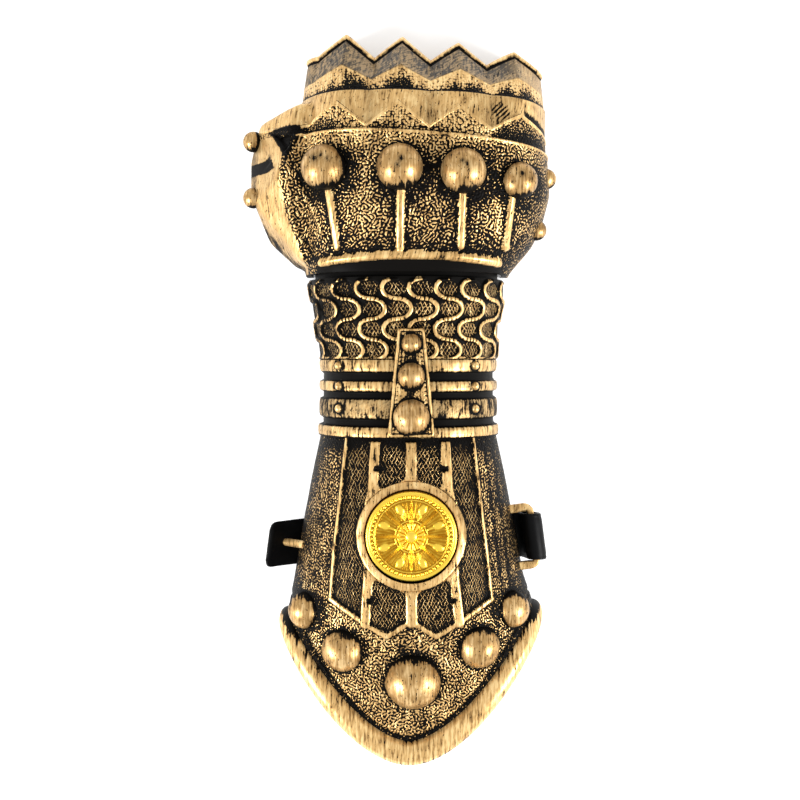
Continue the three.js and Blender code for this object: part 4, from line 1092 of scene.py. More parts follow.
    def plate_paint(self, x: Array, y: Array, z: Array) -> tuple[Array, Array]:
        """Paint and squiggle weight of the back plate and the thumb side.

        Args:
            x, y, z: Points of the shell.

        Returns:
            Gold and squiggle weights.
        """
        grain = smoothstep(-1.6, 1.6, self.facet_side(x, y))
        worm = grain * smoothstep(12, 26, z)
        gold = 0.34 + 0.2 * smoothstep(105, 111, y) + 0.34 * (1 - np.clip(worm, 0, 1))
        gold = gold + 0.08 * smoothstep(5, -20, x)
        gold = gold - 0.05 * smoothstep(10, 40, x) * smoothstep(104, 96, y)
        gold = gold - 0.22 * smoothstep(74, 63, y) * worm
        for _, stud_x, stud_y, radius, _ in KNUCKLE_STUDS:
            away = np.hypot(x - stud_x, y - stud_y) - radius
            side = np.clip(0.5 + 0.5 * ((stud_y - y) + 0.45 * (x - stud_x)) / (radius + 3), 0, 1)
            shadow = np.exp(-np.clip(away, 0, 99) ** 2 / (1.2 + 3.4 * side) ** 2)
            gold = gold - (0.35 + 0.3 * side) * shadow
        for path, width in self.ribs:
            distance, _ = from_path(x, y, path)
            gold = gold - 0.4 * np.exp(-((distance - width / 2 - 0.4) / 1.3) ** 2)
        shine = np.exp(-((x - 42.5 + (y - 80) * 0.12) / 2.6) ** 2)
        gold = gold + 0.34 * shine * smoothstep(62, 70, y) * smoothstep(90, 84, y)
        for path in self.plate_lips:
            distance, _ = from_path(x, y, path)
            gold = gold + 0.16 * smoothstep(0.9, 0.3, distance)
            gold = gold - 0.12 * np.exp(-((distance - 1.5) / 0.8) ** 2)
        bar = self.bar_distance(x, y) - self.bar[4] / 2
        gold = gold - 0.45 * np.exp(-(np.clip(bar, 0, 9) / 1.2) ** 2)
        left, right = self.bar[:2]
        ends = smoothstep(left - 4, left - 1, x) * smoothstep(right + 4, right + 1, x)
        clear = 1 - smoothstep(0, 0.4, self.bar_arc(x) - 1.7 - y) * ends
        return gold * clear, worm * clear

    def facet_side(self, x: Array, y: Array) -> Array:
        """Distance inside the ridge between the grained back and the smooth outer facets."""
        distance, _ = from_path(x, y, self.facet_edge)
        edge_x, edge_y = np.array(self.facet_edge).T
        return np.where(x > np.interp(y, edge_y, edge_x), distance, -distance)

    def bar_arc(self, x: Array | float) -> Array:
        """y of the wrist bar's middle line at x."""
        left, right, low, bow, _ = self.bar
        return low + bow * np.sin(np.clip((x - left) / (right - left), 0, 1) * math.pi)

    def bar_distance(self, x: Array, y: Array) -> Array:
        """Distance from the wrist bar's middle line."""
        stations = np.linspace(*self.bar[:2], 15)
        return from_path(x, y, tuple(zip(stations, self.bar_arc(stations))))[0]

    def lining(self) -> Sheet:
        """The unpainted inside."""
        points, _ = self.ruled(self.hollow_rows, self.columns(3.0), 3.0, 0)
        about = np.array([*self.thumb_hollow_about, 0])
        corners = (self.thumb - about) * self.thumb_hollow_scale + about
        points = self.with_thumb(points, corners, 0)
        return Sheet(points).with_plain_weights()

    def build(self, material: Material) -> None:
        """Makes the hand guard."""
        show("hand_shell", [shell(self.outer(), self.lining())], material, ["hand_guard"])

    def over(self, x: float, y: float) -> float:
        """Height of the back at x, y."""
        row = [np.interp(y, self.rows[:, 0], self.rows[:, k]) for k in range(7)]
        share = (x - (row[3] + row[4]) / 2) / ((row[4] - row[3]) / 2)
        return row[5] * max(0.0, 1 - abs(share) ** self.squareness) ** (1 / self.squareness)


# ---------------------------------------------------------------- forearm guard

@dataclass
class ForearmSkin:
    """The forearm guard's plain form, which its cuff, bands and flare stand on."""

    squareness: float = 2.4
    rows: Array = field(default_factory=lambda: np.array([
        # y, left, right, crown
        [52.8, -43.4, 49, 48.6], [44, -42, 49, 48], [32.6, -40.2, 46.5, 47.5], [21, -38.3, 46, 47],
        [10, -37.4, 45.2, 47], [-19, -37.6, 45.5, 47.5], [-31, -40.2, 48.2, 49.4], [-53.6, -44.9, 52.9, 51.3],
        [-70, -47.8, 56, 51], [-83.5, -50.1, 58.5, 50], [-96, -52, 62.2, 48.4], [-110, -54.4, 65.6, 46],
        [-130, -58, 69, 42], [-170, -62, 72, 34],
    ]))
    neck: tuple[float, ...] = (-40.4, 46.4, 47.2)
    neck_end: float = 53.1

    def section(self, y: Array) -> tuple[Array, Array, Array]:
        """Middle, half width and crown at y."""
        flat = np.ravel(y)
        table = settled(self.rows, flat, 1.6)
        left, right, crown = (table[:, k] for k in (1, 2, 3))
        beyond = flat > self.neck_end
        left = np.where(beyond, self.neck[0], left)
        right = np.where(beyond, self.neck[1], right)
        crown = np.where(beyond, self.neck[2], crown)
        shape = np.shape(y)
        return ((left + right) / 2).reshape(shape), ((right - left) / 2).reshape(shape), crown.reshape(shape)

    def round(self, angle: Array, y: Array, lift: Array | float = 0.0) -> Array:
        """Points at an angle round the forearm (0 over the crown) and y, raised by lift."""
        middle, half, crown = self.section(y)
        power = 2 / self.squareness
        sine, cosine = np.sin(angle), np.clip(np.cos(angle), 0, 1)
        x = middle + (half + lift) * np.sign(sine) * np.abs(sine) ** power
        return np.stack([x, y + 0 * x, (crown + lift) * cosine**power], axis=-1)

    def over(self, x: Array, y: Array, lift: float = 0.0) -> Array:
        """Height of the skin over x, y in plan, raised by lift."""
        middle, half, crown = self.section(np.asarray(y, float))
        share = np.clip(np.abs((x - middle) / half), 0, 1)
        return crown * (1 - share**self.squareness) ** (1 / self.squareness) + lift

    def angles(self, count: int) -> Array:
        """Shares of a quarter turn either way, even along the section."""
        turn = np.linspace(-math.pi / 2, math.pi / 2, 2001)
        line = self.round(turn, np.zeros(2001))
        length = np.concatenate([[0], np.cumsum(np.linalg.norm(np.diff(line, axis=0), axis=1))])
        return np.interp(np.linspace(0, length[-1], count), length, turn) / (math.pi / 2)

    def edge_turn(self, y: Array, edge: Array) -> Array:
        """The angle at which the skin is down to the height of its edge."""
        _, _, crown = self.section(y)
        return np.arccos(np.clip(edge / crown, 0, 1) ** (self.squareness / 2))


    def grid(self, ys: Array, columns: int, edge: float, lift: float = 0.0) -> tuple[Array, Array, Array]:
        """Points in a row for each y, down to the height of an edge on either side.

        Args:
            ys: y of the rows.
            columns: Points in a row.
            edge: Height of the edge.
            lift: Height over the skin.

        Returns:
            The points, their angles and their y.
        """
        y = np.broadcast_to(ys[:, None], (len(ys), columns))
        angle = self.angles(columns)[None, :] * self.edge_turn(y, np.full(y.shape, edge))
        return self.round(angle, y, lift), angle, y


def stretch(points: Array) -> Array:
    """The length across each row from its middle column, for the flattened place."""
    steps = np.linalg.norm(np.diff(points, axis=1, prepend=points[:, :1]), axis=2)
    run = np.cumsum(steps, axis=1)
    middle = points.shape[1] // 2
    return run - run[:, middle : middle + 1]


@dataclass
class MailCuff:
    """The cuff of S-shaped links below the hand guard, and the neck inside it."""

    skin: ForearmSkin
    first: int = -1
    columns: int = 10
    middle: float = 3.4
    spread: float = 1.31
    pace: float = 0.2
    top_columns: float = 3.5
    side_step: float = 0.35
    top: float = 52.2
    row_height: float = 9.1
    rows: int = 4
    bulge: float = 0.54
    width: float = 2.6
    lift: float = 1.25
    scale_y: float = 34.0
    neck_top: float = 64.0
    bottom: float = 16.45
    edge: float = 2.0
    counts: tuple[int, int] = (108, 380)

    def angle_of(self, place: Array) -> Array:
        """The angle round the cuff of a place given as a number of link columns."""
        out = np.abs(place - self.middle)
        share = self.spread * np.sin(self.pace * np.minimum(out, self.top_columns))
        on_top = np.arcsin(share ** (self.skin.squareness / 2))
        beside = self.side_step * np.maximum(0, out - self.top_columns)
        return np.sign(place - self.middle) * (on_top + beside)

    def run_of(self, angle: Array) -> Array:
        """Length round the cuff from its crown to an angle."""
        turn = np.linspace(-math.pi / 2, math.pi / 2, 2001)
        line = self.skin.round(turn, np.full(2001, self.scale_y))
        length = np.concatenate([[0], np.cumsum(np.linalg.norm(np.diff(line, axis=0), axis=1))])
        return np.interp(angle, turn, length - length[1000])

    def links(self, across: Array, y: Array) -> tuple[Array, Array, Array]:
        """Where points lie against the links.

        Args:
            across: Length round the cuff from its crown.
            y: Place along the cuff.

        Returns:
            Distance from the nearest link's middle line, the length along it, and how deep in a
            link's bend the point lies, from 0 to 1.
        """
        nearest = np.full(y.shape, FAR)
        along = np.zeros(y.shape)
        pocket = np.zeros(y.shape)
        t = np.linspace(0, math.pi, 15)
        for column in range(self.first, self.first + self.columns):
            left, right = self.run_of(self.angle_of(column + np.array([-0.5, 0.5])))
            path = []
            for row in range(self.rows + 1):
                way = -1 if row % 2 == 0 else 1
                xs = self.run_of(self.angle_of(column + way * self.bulge * np.sin(t)))
                ys = self.top - self.row_height * (row + (1 - np.cos(t)) / 2)
                path += list(zip(xs, ys))[: None if row == self.rows else -1]
                middle = self.run_of(self.angle_of(np.array(column + way * 0.06)))
                level = self.top - self.row_height * (row + 0.5)
                away = np.hypot((across - middle) / (0.46 * (right - left)), (y - level) / 3.9)
                pocket = np.maximum(pocket, smoothstep(1.08, 0.8, away))
            low, high = min(px for px, _ in path) - 4, max(px for px, _ in path) + 4
            near = (across > low) & (across < high)
            distance, run = from_path(across[near], y[near], tuple(path))
            closer = distance < nearest[near]
            nearest[near] = np.where(closer, distance, nearest[near])
            along[near] = np.where(closer, run, along[near])
        return nearest, along, pocket

    def outer(self) -> Sheet:
        """The cuff's outside."""
        rows, columns = self.counts
        ys = np.concatenate([np.linspace(self.neck_top, self.skin.neck_end + 0.1, 7),
                             np.linspace(self.skin.neck_end - 0.2, self.bottom, rows)])
        points, angle, y = self.skin.grid(ys, columns, self.edge)
        across = self.run_of(angle)
        distance, run, pocket = self.links(across, y)
        row = (self.top - y) / self.row_height
        joint = np.abs(row - np.round(row))
        nick = np.clip(np.cos(2 * math.pi * run / 1.9), 0, 1) ** 3 * smoothstep(0.12, 0.04, joint)
        shown = smoothstep(self.top + 0.6, self.top - 0.9, y)
        merge = smoothstep(self.bottom + 1.5, self.bottom - 0.1, y)
        link = round_bead(distance, self.width, self.lift)
        height = np.maximum(link * (1 - 0.4 * nick) * shown * (1 - 0.4 * merge), 0.6 * merge)
        height = height - 0.5 * pocket * smoothstep(1.2, 2.2, distance) * (1 - merge)
        worn_to = y + 3.0 * smoothstep(0.3, -0.6, angle)
        dark = smoothstep(-0.9, 0.1, angle + 0.03 * (33 - y)) * smoothstep(52.0, 44.0, worn_to)
        gold = pocket * smoothstep(1.0, 1.7, distance) * (0.34 + 0.32 * dark)
        tops = 0.86 - 0.7 * smoothstep(0.55, 1.15, distance) - 0.9 * nick
        tops = tops - 0.3 * (1 - dark) * smoothstep(-0.2, -0.7, angle)
        gold = np.where(distance < 1.25, tops, gold)
        gold = gold * smoothstep(53.0, 50.5, y + 1.5 * np.sin(across * 0.9))
        gold = np.where((merge > 0.35) & (distance > 1.2), 0.56, gold)
        grain = pocket * smoothstep(1.0, 1.6, distance) * (1 - merge)
        weights = Sheet(points).with_plain_weights().weights
        weights[PAINT] = np.clip(gold, 0, 1)
        weights[Grain.WORM.value] = 0.3 * grain
        weights[Grain.HATCH.value] = 0.7 * grain
        weights[FLAT] = np.stack([stretch(points), y, 0 * y], axis=-1)
        return Sheet(points, weights).raised(height)

    def lining(self) -> Sheet:
        """The cuff's inside."""
        ys = np.concatenate([np.linspace(self.neck_top, self.skin.neck_end + 0.1, 4),
                             np.linspace(50, self.bottom, 10)])
        return Sheet(self.skin.grid(ys, 70, self.edge, -WALL)[0]).with_plain_weights()

    def build(self, material: Material) -> None:
        """Makes the cuff."""
        show("mail_cuff", [shell(self.outer(), self.lining())], material, ["forearm_guard"])


@dataclass
class WristBands:
    """The four raised bands of the wrist with their grooves and rivets."""

    skin: ForearmSkin
    bands: tuple[Triple, ...] = (
        (16.2, 10.2, 0.6), (10.2, 6.4, -1.1), (6.4, 1.5, 0.9), (1.5, -1.6, -1.1),
        (-1.6, -10.8, 0.9), (-10.8, -14.2, -1.1), (-14.2, -19, 1.4))
    slope: float = 0.5
    rivet_angles: tuple[float, ...] = (-0.78, 0.72)
    rivet_ys: tuple[float, ...] = (13.2, 4, -6.2)
    rivet_radius: float = 1.9
    top: float = 16.45
    bottom: float = -19.4
    counts: tuple[int, int] = (96, 330)
    edge: float = 2.0

    def profile(self, y: Array) -> tuple[Array, Array]:
        """Lift of the bands over the skin at y, and 1 on a band, 0 in a groove."""
        stations = [(self.top + 1, self.bands[0][2])]
        for start, end, lift in self.bands:
            stations += [(start - self.slope / 2, lift), (end + self.slope / 2, lift)]
        stations.append((self.bottom - 1, 0.0))
        ys, lifts = (np.array(column)[::-1] for column in zip(*stations))
        height = np.interp(y, ys, lifts)
        on = np.zeros(np.shape(y))
        for start, end, lift in self.bands:
            share = np.clip(1 - ((y - (start + end) / 2) / ((start - end) / 2)) ** 2, 0, 1)
            if lift > 0:
                height = height - 0.75 * (1 - share) ** 2 * (y < start) * (y > end)
                on = np.maximum(on, smoothstep(0.0, 0.3, share))
        return height, on

    def outer(self) -> Sheet:
        """The bands' outside."""
        rows, columns = self.counts
        points, angle, y = self.skin.grid(np.linspace(self.top, self.bottom, rows), columns, self.edge)
        height, on = self.profile(y)
        across = stretch(points)
        wear = 0.5 * (np.sin(across * 0.31 + 0.6) + np.sin(across * 0.83 + y * 0.2))
        # Less gold down the sides: partly the black paint, partly painted shade.
        sides = smoothstep(1.25, 0.75, np.abs(angle))
        worn = smoothstep(-1.2, -2.0, y) * smoothstep(-11.0, -10.4, y)
        gold = on * (0.60 + 0.06 * wear + 0.10 * sides - 0.13 * worn)
        for centre in self.rivet_angles:
            for rivet_y in self.rivet_ys:
                spot = self.skin.round(np.array([centre]), np.array([rivet_y]))[0]
                away = np.hypot(points[..., 0] - spot[0], y - spot[1])
                gold = gold - 0.5 * np.exp(-((away - self.rivet_radius) / 0.9) ** 2)
        weights = Sheet(points).with_plain_weights().weights
        weights[PAINT] = np.clip(gold, 0, 1)
        weights[DULL] = np.clip(0.22 + 0.45 * worn - 0.25 * wear, 0, 1)
        weights[FLAT] = np.stack([across, y, 0 * y], axis=-1)
        return Sheet(points, weights).raised(height)

    def lining(self) -> Sheet:
        """The bands' inside."""
        ys = np.linspace(self.top, self.bottom, 8)
        return Sheet(self.skin.grid(ys, 70, self.edge, -WALL - 1.3)[0]).with_plain_weights()

    def rivet(self, angle: float, y: float) -> Solid:
        """One round rivet head."""
        centre = self.skin.round(np.array([angle]), np.array([y]), 0.9)[0]
        rings = turned(ball(self.rivet_radius, np.linspace(0.1, 2.0, 10)), 20)
        aim = Vector((math.sin(angle) * 0.8, 0, math.cos(angle))).to_track_quat("Z", "Y").to_matrix()
        return skin_of_rings(Sheet(rings @ np.array(aim).T + centre).with_plain_weights(0.8))

    def build(self, material: Material) -> None:
        """Makes the bands and their rivets."""
        rivets = [self.rivet(angle, y) for angle in self.rivet_angles for y in self.rivet_ys]
        solids = [shell(self.outer(), self.lining()), *rivets]
        show("wrist_bands", solids, material, ["forearm_guard"])


@dataclass
class ForearmFlare:
    """The flared plate with its bars, hatched panels, medallion well, elbow rim and strap arch."""

    skin: ForearmSkin
    top: float = -19.4
    medallion: tuple[float, float] = (5.0, -62.2)
    ring_inner: float = 20.9
    ring_outer: float = 24.4
    ring_lift: float = 1.3
    well_depth: float = 4.2
    tilt: float = 0.1
    bars: tuple[tuple[Path, float], ...] = (
        (((-10.6, -19), (-12.2, -46)), 4.4), (((-13.8, -79), (-15.6, -101.5)), 4.4),
        (((19.8, -19), (21.4, -46)), 4.4), (((23.6, -79), (26.4, -101)), 4.4),
        (((5, -19), (5, -38.4)), 4.8), (((5, -86), (5.2, -100.5)), 5.0))
    side_lines: tuple[Path, ...] = (
        ((-23.6, -19), (-26.6, -47), (-29.4, -70), (-31, -91)),
        ((32.6, -19), (35.6, -47), (38.6, -70), (40.8, -91)))
    fillet: float = 4.0
    creases: tuple[float, ...] = (5.4, 9.6)
    notches: Path = ((-9.6, -32.6), (19.1, -32.6), (-12.9, -91), (22.9, -91))
    panel_edge: Path = ((-31, -91.4), (-14.6, -102.2), (-5.8, -107.2), (5.1, -100.2), (16, -107.2),
                        (25.6, -101.6), (40.8, -91.4))
    elbow_tip: tuple[float, float] = (4.1, -168.0)
    elbow_spread: float = 0.0325
    elbow_power: float = 1.82
    rim_radius: float = 6.0
    rim_side_radius: float = 4.6
    edge: float = 2.0
    arch_height: float = 13.0
    counts: tuple[int, int] = (262, 300)

    def foot_edge(self, y: Array) -> Array:
        """Height of the plate's lower edge, with the relief for the strap."""
        rise = smoothstep(-28, -52, y) * smoothstep(-104, -84, y)
        return self.edge + (self.arch_height - self.edge) * rise

    def rim_size(self, angle: Array) -> Array:
        """Radius of the rolled rim at an angle round the forearm."""
        side = np.minimum(1, np.abs(angle) / (math.pi / 2))
        return self.rim_radius + (self.rim_side_radius - self.rim_radius) * side

    def rim_y(self, angle: Array) -> Array:
        """y of the rolled rim's middle line at an angle round the forearm."""
        y = np.full(np.shape(angle), self.elbow_tip[1] + self.rim_radius)
        for _ in range(40):
            outline, steep = self.elbow_outline(self.skin.round(angle, y)[..., 0])
            y = y + (outline + self.rim_size(angle) * steep - y) / 2
        return y

    def elbow_outline(self, x: Array) -> tuple[Array, Array]:
        """y of the elbow outline at x, and the length of a step along it for one in x."""
        away = np.abs(x - self.elbow_tip[0])
        slope = self.elbow_spread * self.elbow_power * away ** (self.elbow_power - 1)
        return self.elbow_tip[1] + self.elbow_spread * away**self.elbow_power, np.hypot(1, slope)

    def sheet(self, rows: int, columns: int, lift: float) -> tuple[Array, Array]:
        """Points of the plate and their angles.

        Args:
            rows: Rows from the bands to the rim.
            columns: Columns from edge to edge.
            lift: Height over the plain skin.

        Returns:
            Points in rows and columns, and the angle of each.
        """
        shares = self.skin.angles(columns)
        last = self.rim_y(shares * math.radians(88))
        t = np.linspace(0, 1, rows)[:, None]
        y = self.top + t * (last[None, :] - self.top)
        angle = shares[None, :] * self.skin.edge_turn(y, self.foot_edge(y))
        return self.skin.round(angle, y, lift), angle

    def bar_edge(self, x: Array, y: Array) -> Array:
        """Distance from the edge of the bars and the ring they run into, below 0 on them."""
        bars = np.full(x.shape, FAR)
        for path, width in self.bars:
            distance, _ = from_path(x, y, path)
            bars = np.minimum(bars, distance - width / 2)
        away = np.hypot(x - self.medallion[0], y - self.medallion[1]) - self.ring_outer
        share = np.clip(0.5 + 0.5 * (away - bars) / self.fillet, 0, 1)
        return away * (1 - share) + bars * share - self.fillet * share * (1 - share)

    def bar_shape(self, x: Array, y: Array) -> tuple[Array, Array]:
        """Height of the bars, lines and panel edge, and 1 where there is one."""
        height = bead(self.bar_edge(x, y) + 2.0, 4.0, 1.3, 0.9) * smoothstep(-20.2, -21.2, y)
        for nx, ny in self.notches:
            cut = smoothstep(2.0, 1.3, np.abs(x - nx)) * smoothstep(1.3, 0.7, np.abs(y - ny))
            height = height * (1 - cut)
        for path in self.side_lines:
            distance, _ = from_path(x, y, path)
            height = np.maximum(height, bead(distance, 1.5, 0.9, 0.75))
        distance, _ = from_path(x, y, self.panel_edge)
        height = np.maximum(height, bead(distance, 2.3, 1.0, 1.0))
        return height, smoothstep(0.35, 0.8, height)

    def outer(self) -> Sheet:
        """The plate's outside with all its relief."""
        points, angle = self.sheet(*self.counts, 0.0)
        x, y, z = points[..., 0], points[..., 1], points[..., 2]
        height, raised = self.bar_shape(x, y)
        away = np.hypot(x - self.medallion[0], y - self.medallion[1])
        height = np.where(away < self.ring_outer, 0.4, height)
        height = np.where(away < 22.6, -4.6, height)
        from_rim = self.rim_distance(x, y)
        height = height - 0.7 * np.exp(-((from_rim - 7.2) / 0.8) ** 2)
        weights = self.finish(x, y, z, angle, height, raised, away, from_rim)
        weights[FLAT] = np.stack([stretch(points), y, 0 * y], axis=-1)
        return Sheet(points, weights).raised(height)

    def rim_distance(self, x: Array, y: Array) -> Array:
        """Distance in plan from the elbow outline, measured square to it."""
        outline, steep = self.elbow_outline(x)
        return (y - outline) / steep - self.rim_radius

    def finish(self, x: Array, y: Array, z: Array, angle: Array, height: Array, raised: Array, away: Array,
               from_rim: Array) -> Weights:
        """Paint and grain over the plate.

        Args:
            x, y, z: Points of the plate.
            angle: Their angles round the forearm.
            height: The relief's height.
            raised: 1 on bars and lines.
            away: Distance from the medallion's middle.
            from_rim: Distance from the rim's middle line.

        Returns:
            The weights, all but the flattened place.
        """
        left, right = (np.interp(-y, -np.array(line)[:, 1], np.array(line)[:, 0]) for line in self.side_lines)
        corner_x, corner_y = zip(*self.panel_edge)
        below = np.interp(x, corner_x, corner_y)
        panel = (x > left) & (x < right) & (y > below)
        hatch = panel * (1 - raised)
        lower = smoothstep(-88, -100, y)
        textured = (1 - panel) * (1 - raised) * smoothstep(6, 14, z)
        speckled = smoothstep(0.35, 0.65, self.patches(x, y)) * (1 - lower)
        worm = textured * (0.9 - 0.6 * speckled)
        pebble = textured * (0.1 + 0.6 * speckled)
        gold = np.where(panel, 0.44, 0.33 + 0.12 * lower)
        centre_panels = panel & (np.abs(x - self.medallion[0]) < 17)
        gold = np.where(centre_panels, 0.48, gold)
        # Dark strip below the wrist bands: partly black paint, partly painted shade under the bands.
        gold = gold - 0.45 * smoothstep(-27, -20.5, y)
        # Painted shadow beside the raised side lines and the panel edge.
        for path in (*self.side_lines, self.panel_edge):
            distance, _ = from_path(x, y, path)
            gold = gold - 0.2 * np.exp(-((distance - 1.6) / 1.2) ** 2) * panel
        # Darker down the sides: partly the black paint, partly painted shade.
        gold = gold - 0.25 * smoothstep(0.9, 1.35, np.abs(angle)) * (1 - lower)
        for _, stud_x, stud_y, radius, _ in ELBOW_STUDS:
            out = np.hypot(x - stud_x, y - stud_y) - radius
            side = np.clip(0.5 + 0.5 * (y - stud_y) / (radius + 3), 0, 1)
            shadow = np.exp(-np.clip(out, 0, 99) ** 2 / (1.0 + 0.3 * side) ** 2)
            gold = gold - (0.3 + 0.05 * side) * shadow
        # Dark line along the inside of the rim, wider at the sides: partly black in the groove, partly the
        # rim's painted shadow.
        aside = smoothstep(24, 50, np.abs(x - self.elbow_tip[0]))
        gold = gold - 0.3 * smoothstep(13, 6.5, from_rim) * aside
        gold = gold - 0.9 * smoothstep(8.0, 6.6, from_rim)
        gold = np.where(raised > 0.5, np.where(self.bar_edge(x, y) < 0.3, 0.6, 0.48), gold)
        for offset in self.creases:
            path = tuple((px + offset, py) for px, py in self.side_lines[1])
            distance, _ = from_path(x, y, path)
            gold = gold - 0.3 * np.exp(-(distance / 0.7) ** 2) * (1 - lower)
        # Dark in the notches: partly black in the cut, partly painted shadow.
        for nx, ny in self.notches:
            gold = gold - 0.8 * np.exp(-(((x - nx) / 1.7) ** 2 + ((y - ny) / 1.4) ** 2))
        gold = gold - 0.3 * np.exp(-((away - self.ring_outer - 0.4) / 1.0) ** 2) * (1 - raised)
        cavity = height - blurred(height, 2, 2)
        gold = np.clip(gold + np.where(away > 26, np.clip(cavity, -0.5, 0.4) * 0.6, 0), 0, 1)
        return {PAINT: gold, DULL: np.zeros(x.shape), Grain.WORM.value: worm, Grain.PEBBLE.value: pebble,
                Grain.HATCH.value: hatch * (away > 20)}

    def patches(self, x: Array, y: Array) -> Array:
        """A soft patchwork from 0 to 1 that mixes the two grains."""
        return 0.5 + 0.25 * (np.sin(0.31 * x + 0.17 * y) + np.sin(0.23 * y - 0.19 * x + 1.3))

    def lining(self) -> Sheet:
        """The plate's inside."""
        points, _ = self.sheet(90, 100, -WALL)
        sheet = Sheet(points).with_plain_weights()
        away = np.hypot(points[..., 0] - self.medallion[0], points[..., 1] - self.medallion[1])
        return sheet.raised(-3.6 * smoothstep(25.5, 23.5, away))

    def rim(self) -> Solid:
        """The rolled rim from one foot over the elbow tip to the other."""
        turn = np.linspace(-math.pi / 2, math.pi / 2, 181)
        line = self.skin.round(turn, self.rim_y(turn), -1.0)
        size = self.rim_size(turn)
        line[0, 2] = line[-1, 2] = 0.0
        path = spline(line[::3], 420)
        path[:, 2] = np.maximum(path[:, 2], 0.0)
        width = np.interp(np.linspace(0, 1, 420), np.linspace(0, 1, 181), size)
        rings = swept(path, width, width, np.array([0, 1.0, 0]), 2.0, 40)
        rings[..., 2] = np.maximum(rings[..., 2], 0.0)
        sheet = Sheet(rings).with_plain_weights()
        offset = (rings - path[:, None]) / width[:, None, None]
        inward, top = offset[..., 1], offset[..., 2]
        aside = smoothstep(10, 34, np.abs(rings[..., 0] - self.elbow_tip[0]))
        # Painted shade: the inner side is dark as a shadow line against the plate, and the underside and
        # outer side are darker, the outer side partly from its brown paint.
        gold = 0.82 - 0.75 * smoothstep(0.72 - 0.4 * aside, 1.1 - 0.1 * aside, inward)
        gold = gold - 0.25 * smoothstep(-0.2, -0.9, top)
        gold = gold - 0.32 * smoothstep(-0.5, -1.0, inward)
        sheet.weights[PAINT] = np.clip(gold, 0, 1)
        return skin_of_rings(sheet)

    def frame_ring(self) -> Solid:
        """The round frame with the medallion's well."""
        seat = self.skin.over(self.medallion[0], self.medallion[1]) + self.ring_lift
        inner, outer, depth = self.ring_inner, self.ring_outer, self.well_depth
        profile = [(0.2, -depth, 0), (8, -depth, 0), (16, -depth, 0), (inner - 0.3, -depth, 0),
                   (inner, -depth + 0.3, 0)]
        profile += [(inner, t, 1) for t in (-1.2, -0.8, -0.4)]
        profile += [(inner + 0.12, -0.12, 1), (inner + 0.4, 0, 1), (inner + 1.2, 0.05, 1),
                    (outer - 1.2, 0.05, 1), (outer - 0.4, 0, 1), (outer - 0.1, -0.14, 1),
                    (outer, -0.5, 1), (outer + 0.15, -1.9, 1)]
        profile += [(inner + 1.6, -depth - 0.9, 0), (12, -depth - 0.9, 0), (0.2, -depth - 0.9, 0)]
        rings = turned([(r, z) for r, z, _ in profile], 180)
        on_skin = np.array([kind for _, _, kind in profile])[:, None]
        x = rings[..., 0] + self.medallion[0]
        y = rings[..., 1] * math.cos(self.tilt) + self.medallion[1]
        plane = seat + rings[..., 1] * math.sin(self.tilt) + rings[..., 2]
        cover = self.skin.over(x, y) + self.ring_lift + rings[..., 2]
        cover = np.where(rings[..., 2] > -1.0, cover, np.maximum(cover, plane - 3.0))
        low = seat + rings[..., 1] * math.sin(self.tilt) - depth + 0.35
        cover = np.maximum(cover, np.where(on_skin & (rings[..., 2] > -1.3), low, -99))
        points = np.stack([x, y, np.where(on_skin == 1, cover, plane)], axis=-1)
        sheet = Sheet(points).with_plain_weights(0.0)
        level = np.array([0.7 if (kind and (z > -0.3 or r == outer)) else 0.0 for r, z, kind in profile])
        sheet.weights[PAINT] = np.broadcast_to(level[:, None], points.shape[:2]).copy()
        return skin_of_rings(sheet)

    def build(self, material: Material, streaked: Material) -> None:
        """Makes the plate, its rim and the medallion's frame."""
        show("forearm_plate", [shell(self.outer(), self.lining())], material, ["forearm_guard"])
        show("rolled_rim", [self.rim()], streaked, ["forearm_guard"])
        show("medallion_frame", [self.frame_ring()], material, ["forearm_guard"])


# ---------------------------------------------------------------- studs

@dataclass(frozen=True)
class Stud:
    """A ball stud that sits in a shell.

    Its dark side is the direction, in plan, that the brush passed over.
    """

    name: str
    centre: Triple
    normal: Triple
    sunk: float
    radius: float
    dark_y: float
    dark_from: float = 0.5
    darkness: float = 0.5
    dents: tuple[Triple, ...] = ()
    sides: int = 72

    def build(self, material: Material) -> None:
        """Makes the stud."""
        deep = min(0.97, max(-0.97, (self.sunk + 2.2) / self.radius))
        last = math.pi / 2 + math.asin(deep)
        turns = np.linspace(0.02, last, 30)
        rings = turned(ball(self.radius, turns), self.sides)
        aim = np.array(Vector(self.normal).to_track_quat("Z", "Y").to_matrix())
        local = rings @ aim.T
        points = local + np.array(self.centre)
        sheet = Sheet(points).with_plain_weights()
        facing = local / self.radius
        above = np.broadcast_to(np.cos(turns)[:, None], points.shape[:2])
        sink = -self.sunk / self.radius
        # Painted shade: the top of the ball is lighter than its sides, and its foot where it meets the shell
        # is darkened as a painted contact shadow.
        gold = 0.62 + 0.22 * facing[..., 2] - 0.5 * smoothstep(0.24, 0.0, above - sink)
        brushed = facing[..., 1] * self.dark_y + 0.12 * facing[..., 0]
        gold = gold - self.darkness * smoothstep(self.dark_from, 1.0, brushed)
        # Painted shade on the ball's steep sides goes into the dull weight; the dents added below are real
        # scuffs.
        smudge = 0.3 * smoothstep(0.8, 0.25, facing[..., 2])
        for x, y, size in self.dents:
            away = np.hypot(facing[..., 0] - x, (facing[..., 1] - y) * 0.8) / (1.5 * size)
            smudge = smudge + 0.85 * np.exp(-away**2)
            gold = gold - 0.5 * np.exp(-((away * 1.6) ** 2))
        sheet.weights[PAINT] = np.clip(gold, 0, 1)
        sheet.weights[DULL] = np.clip(smudge, 0, 1)
        sheet.weights[FLAT] = points * (1, 1, 0) + (self.centre[2], 0, 0)
        show(self.name + "_ball", [skin_of_rings(sheet)], material, [self.name])


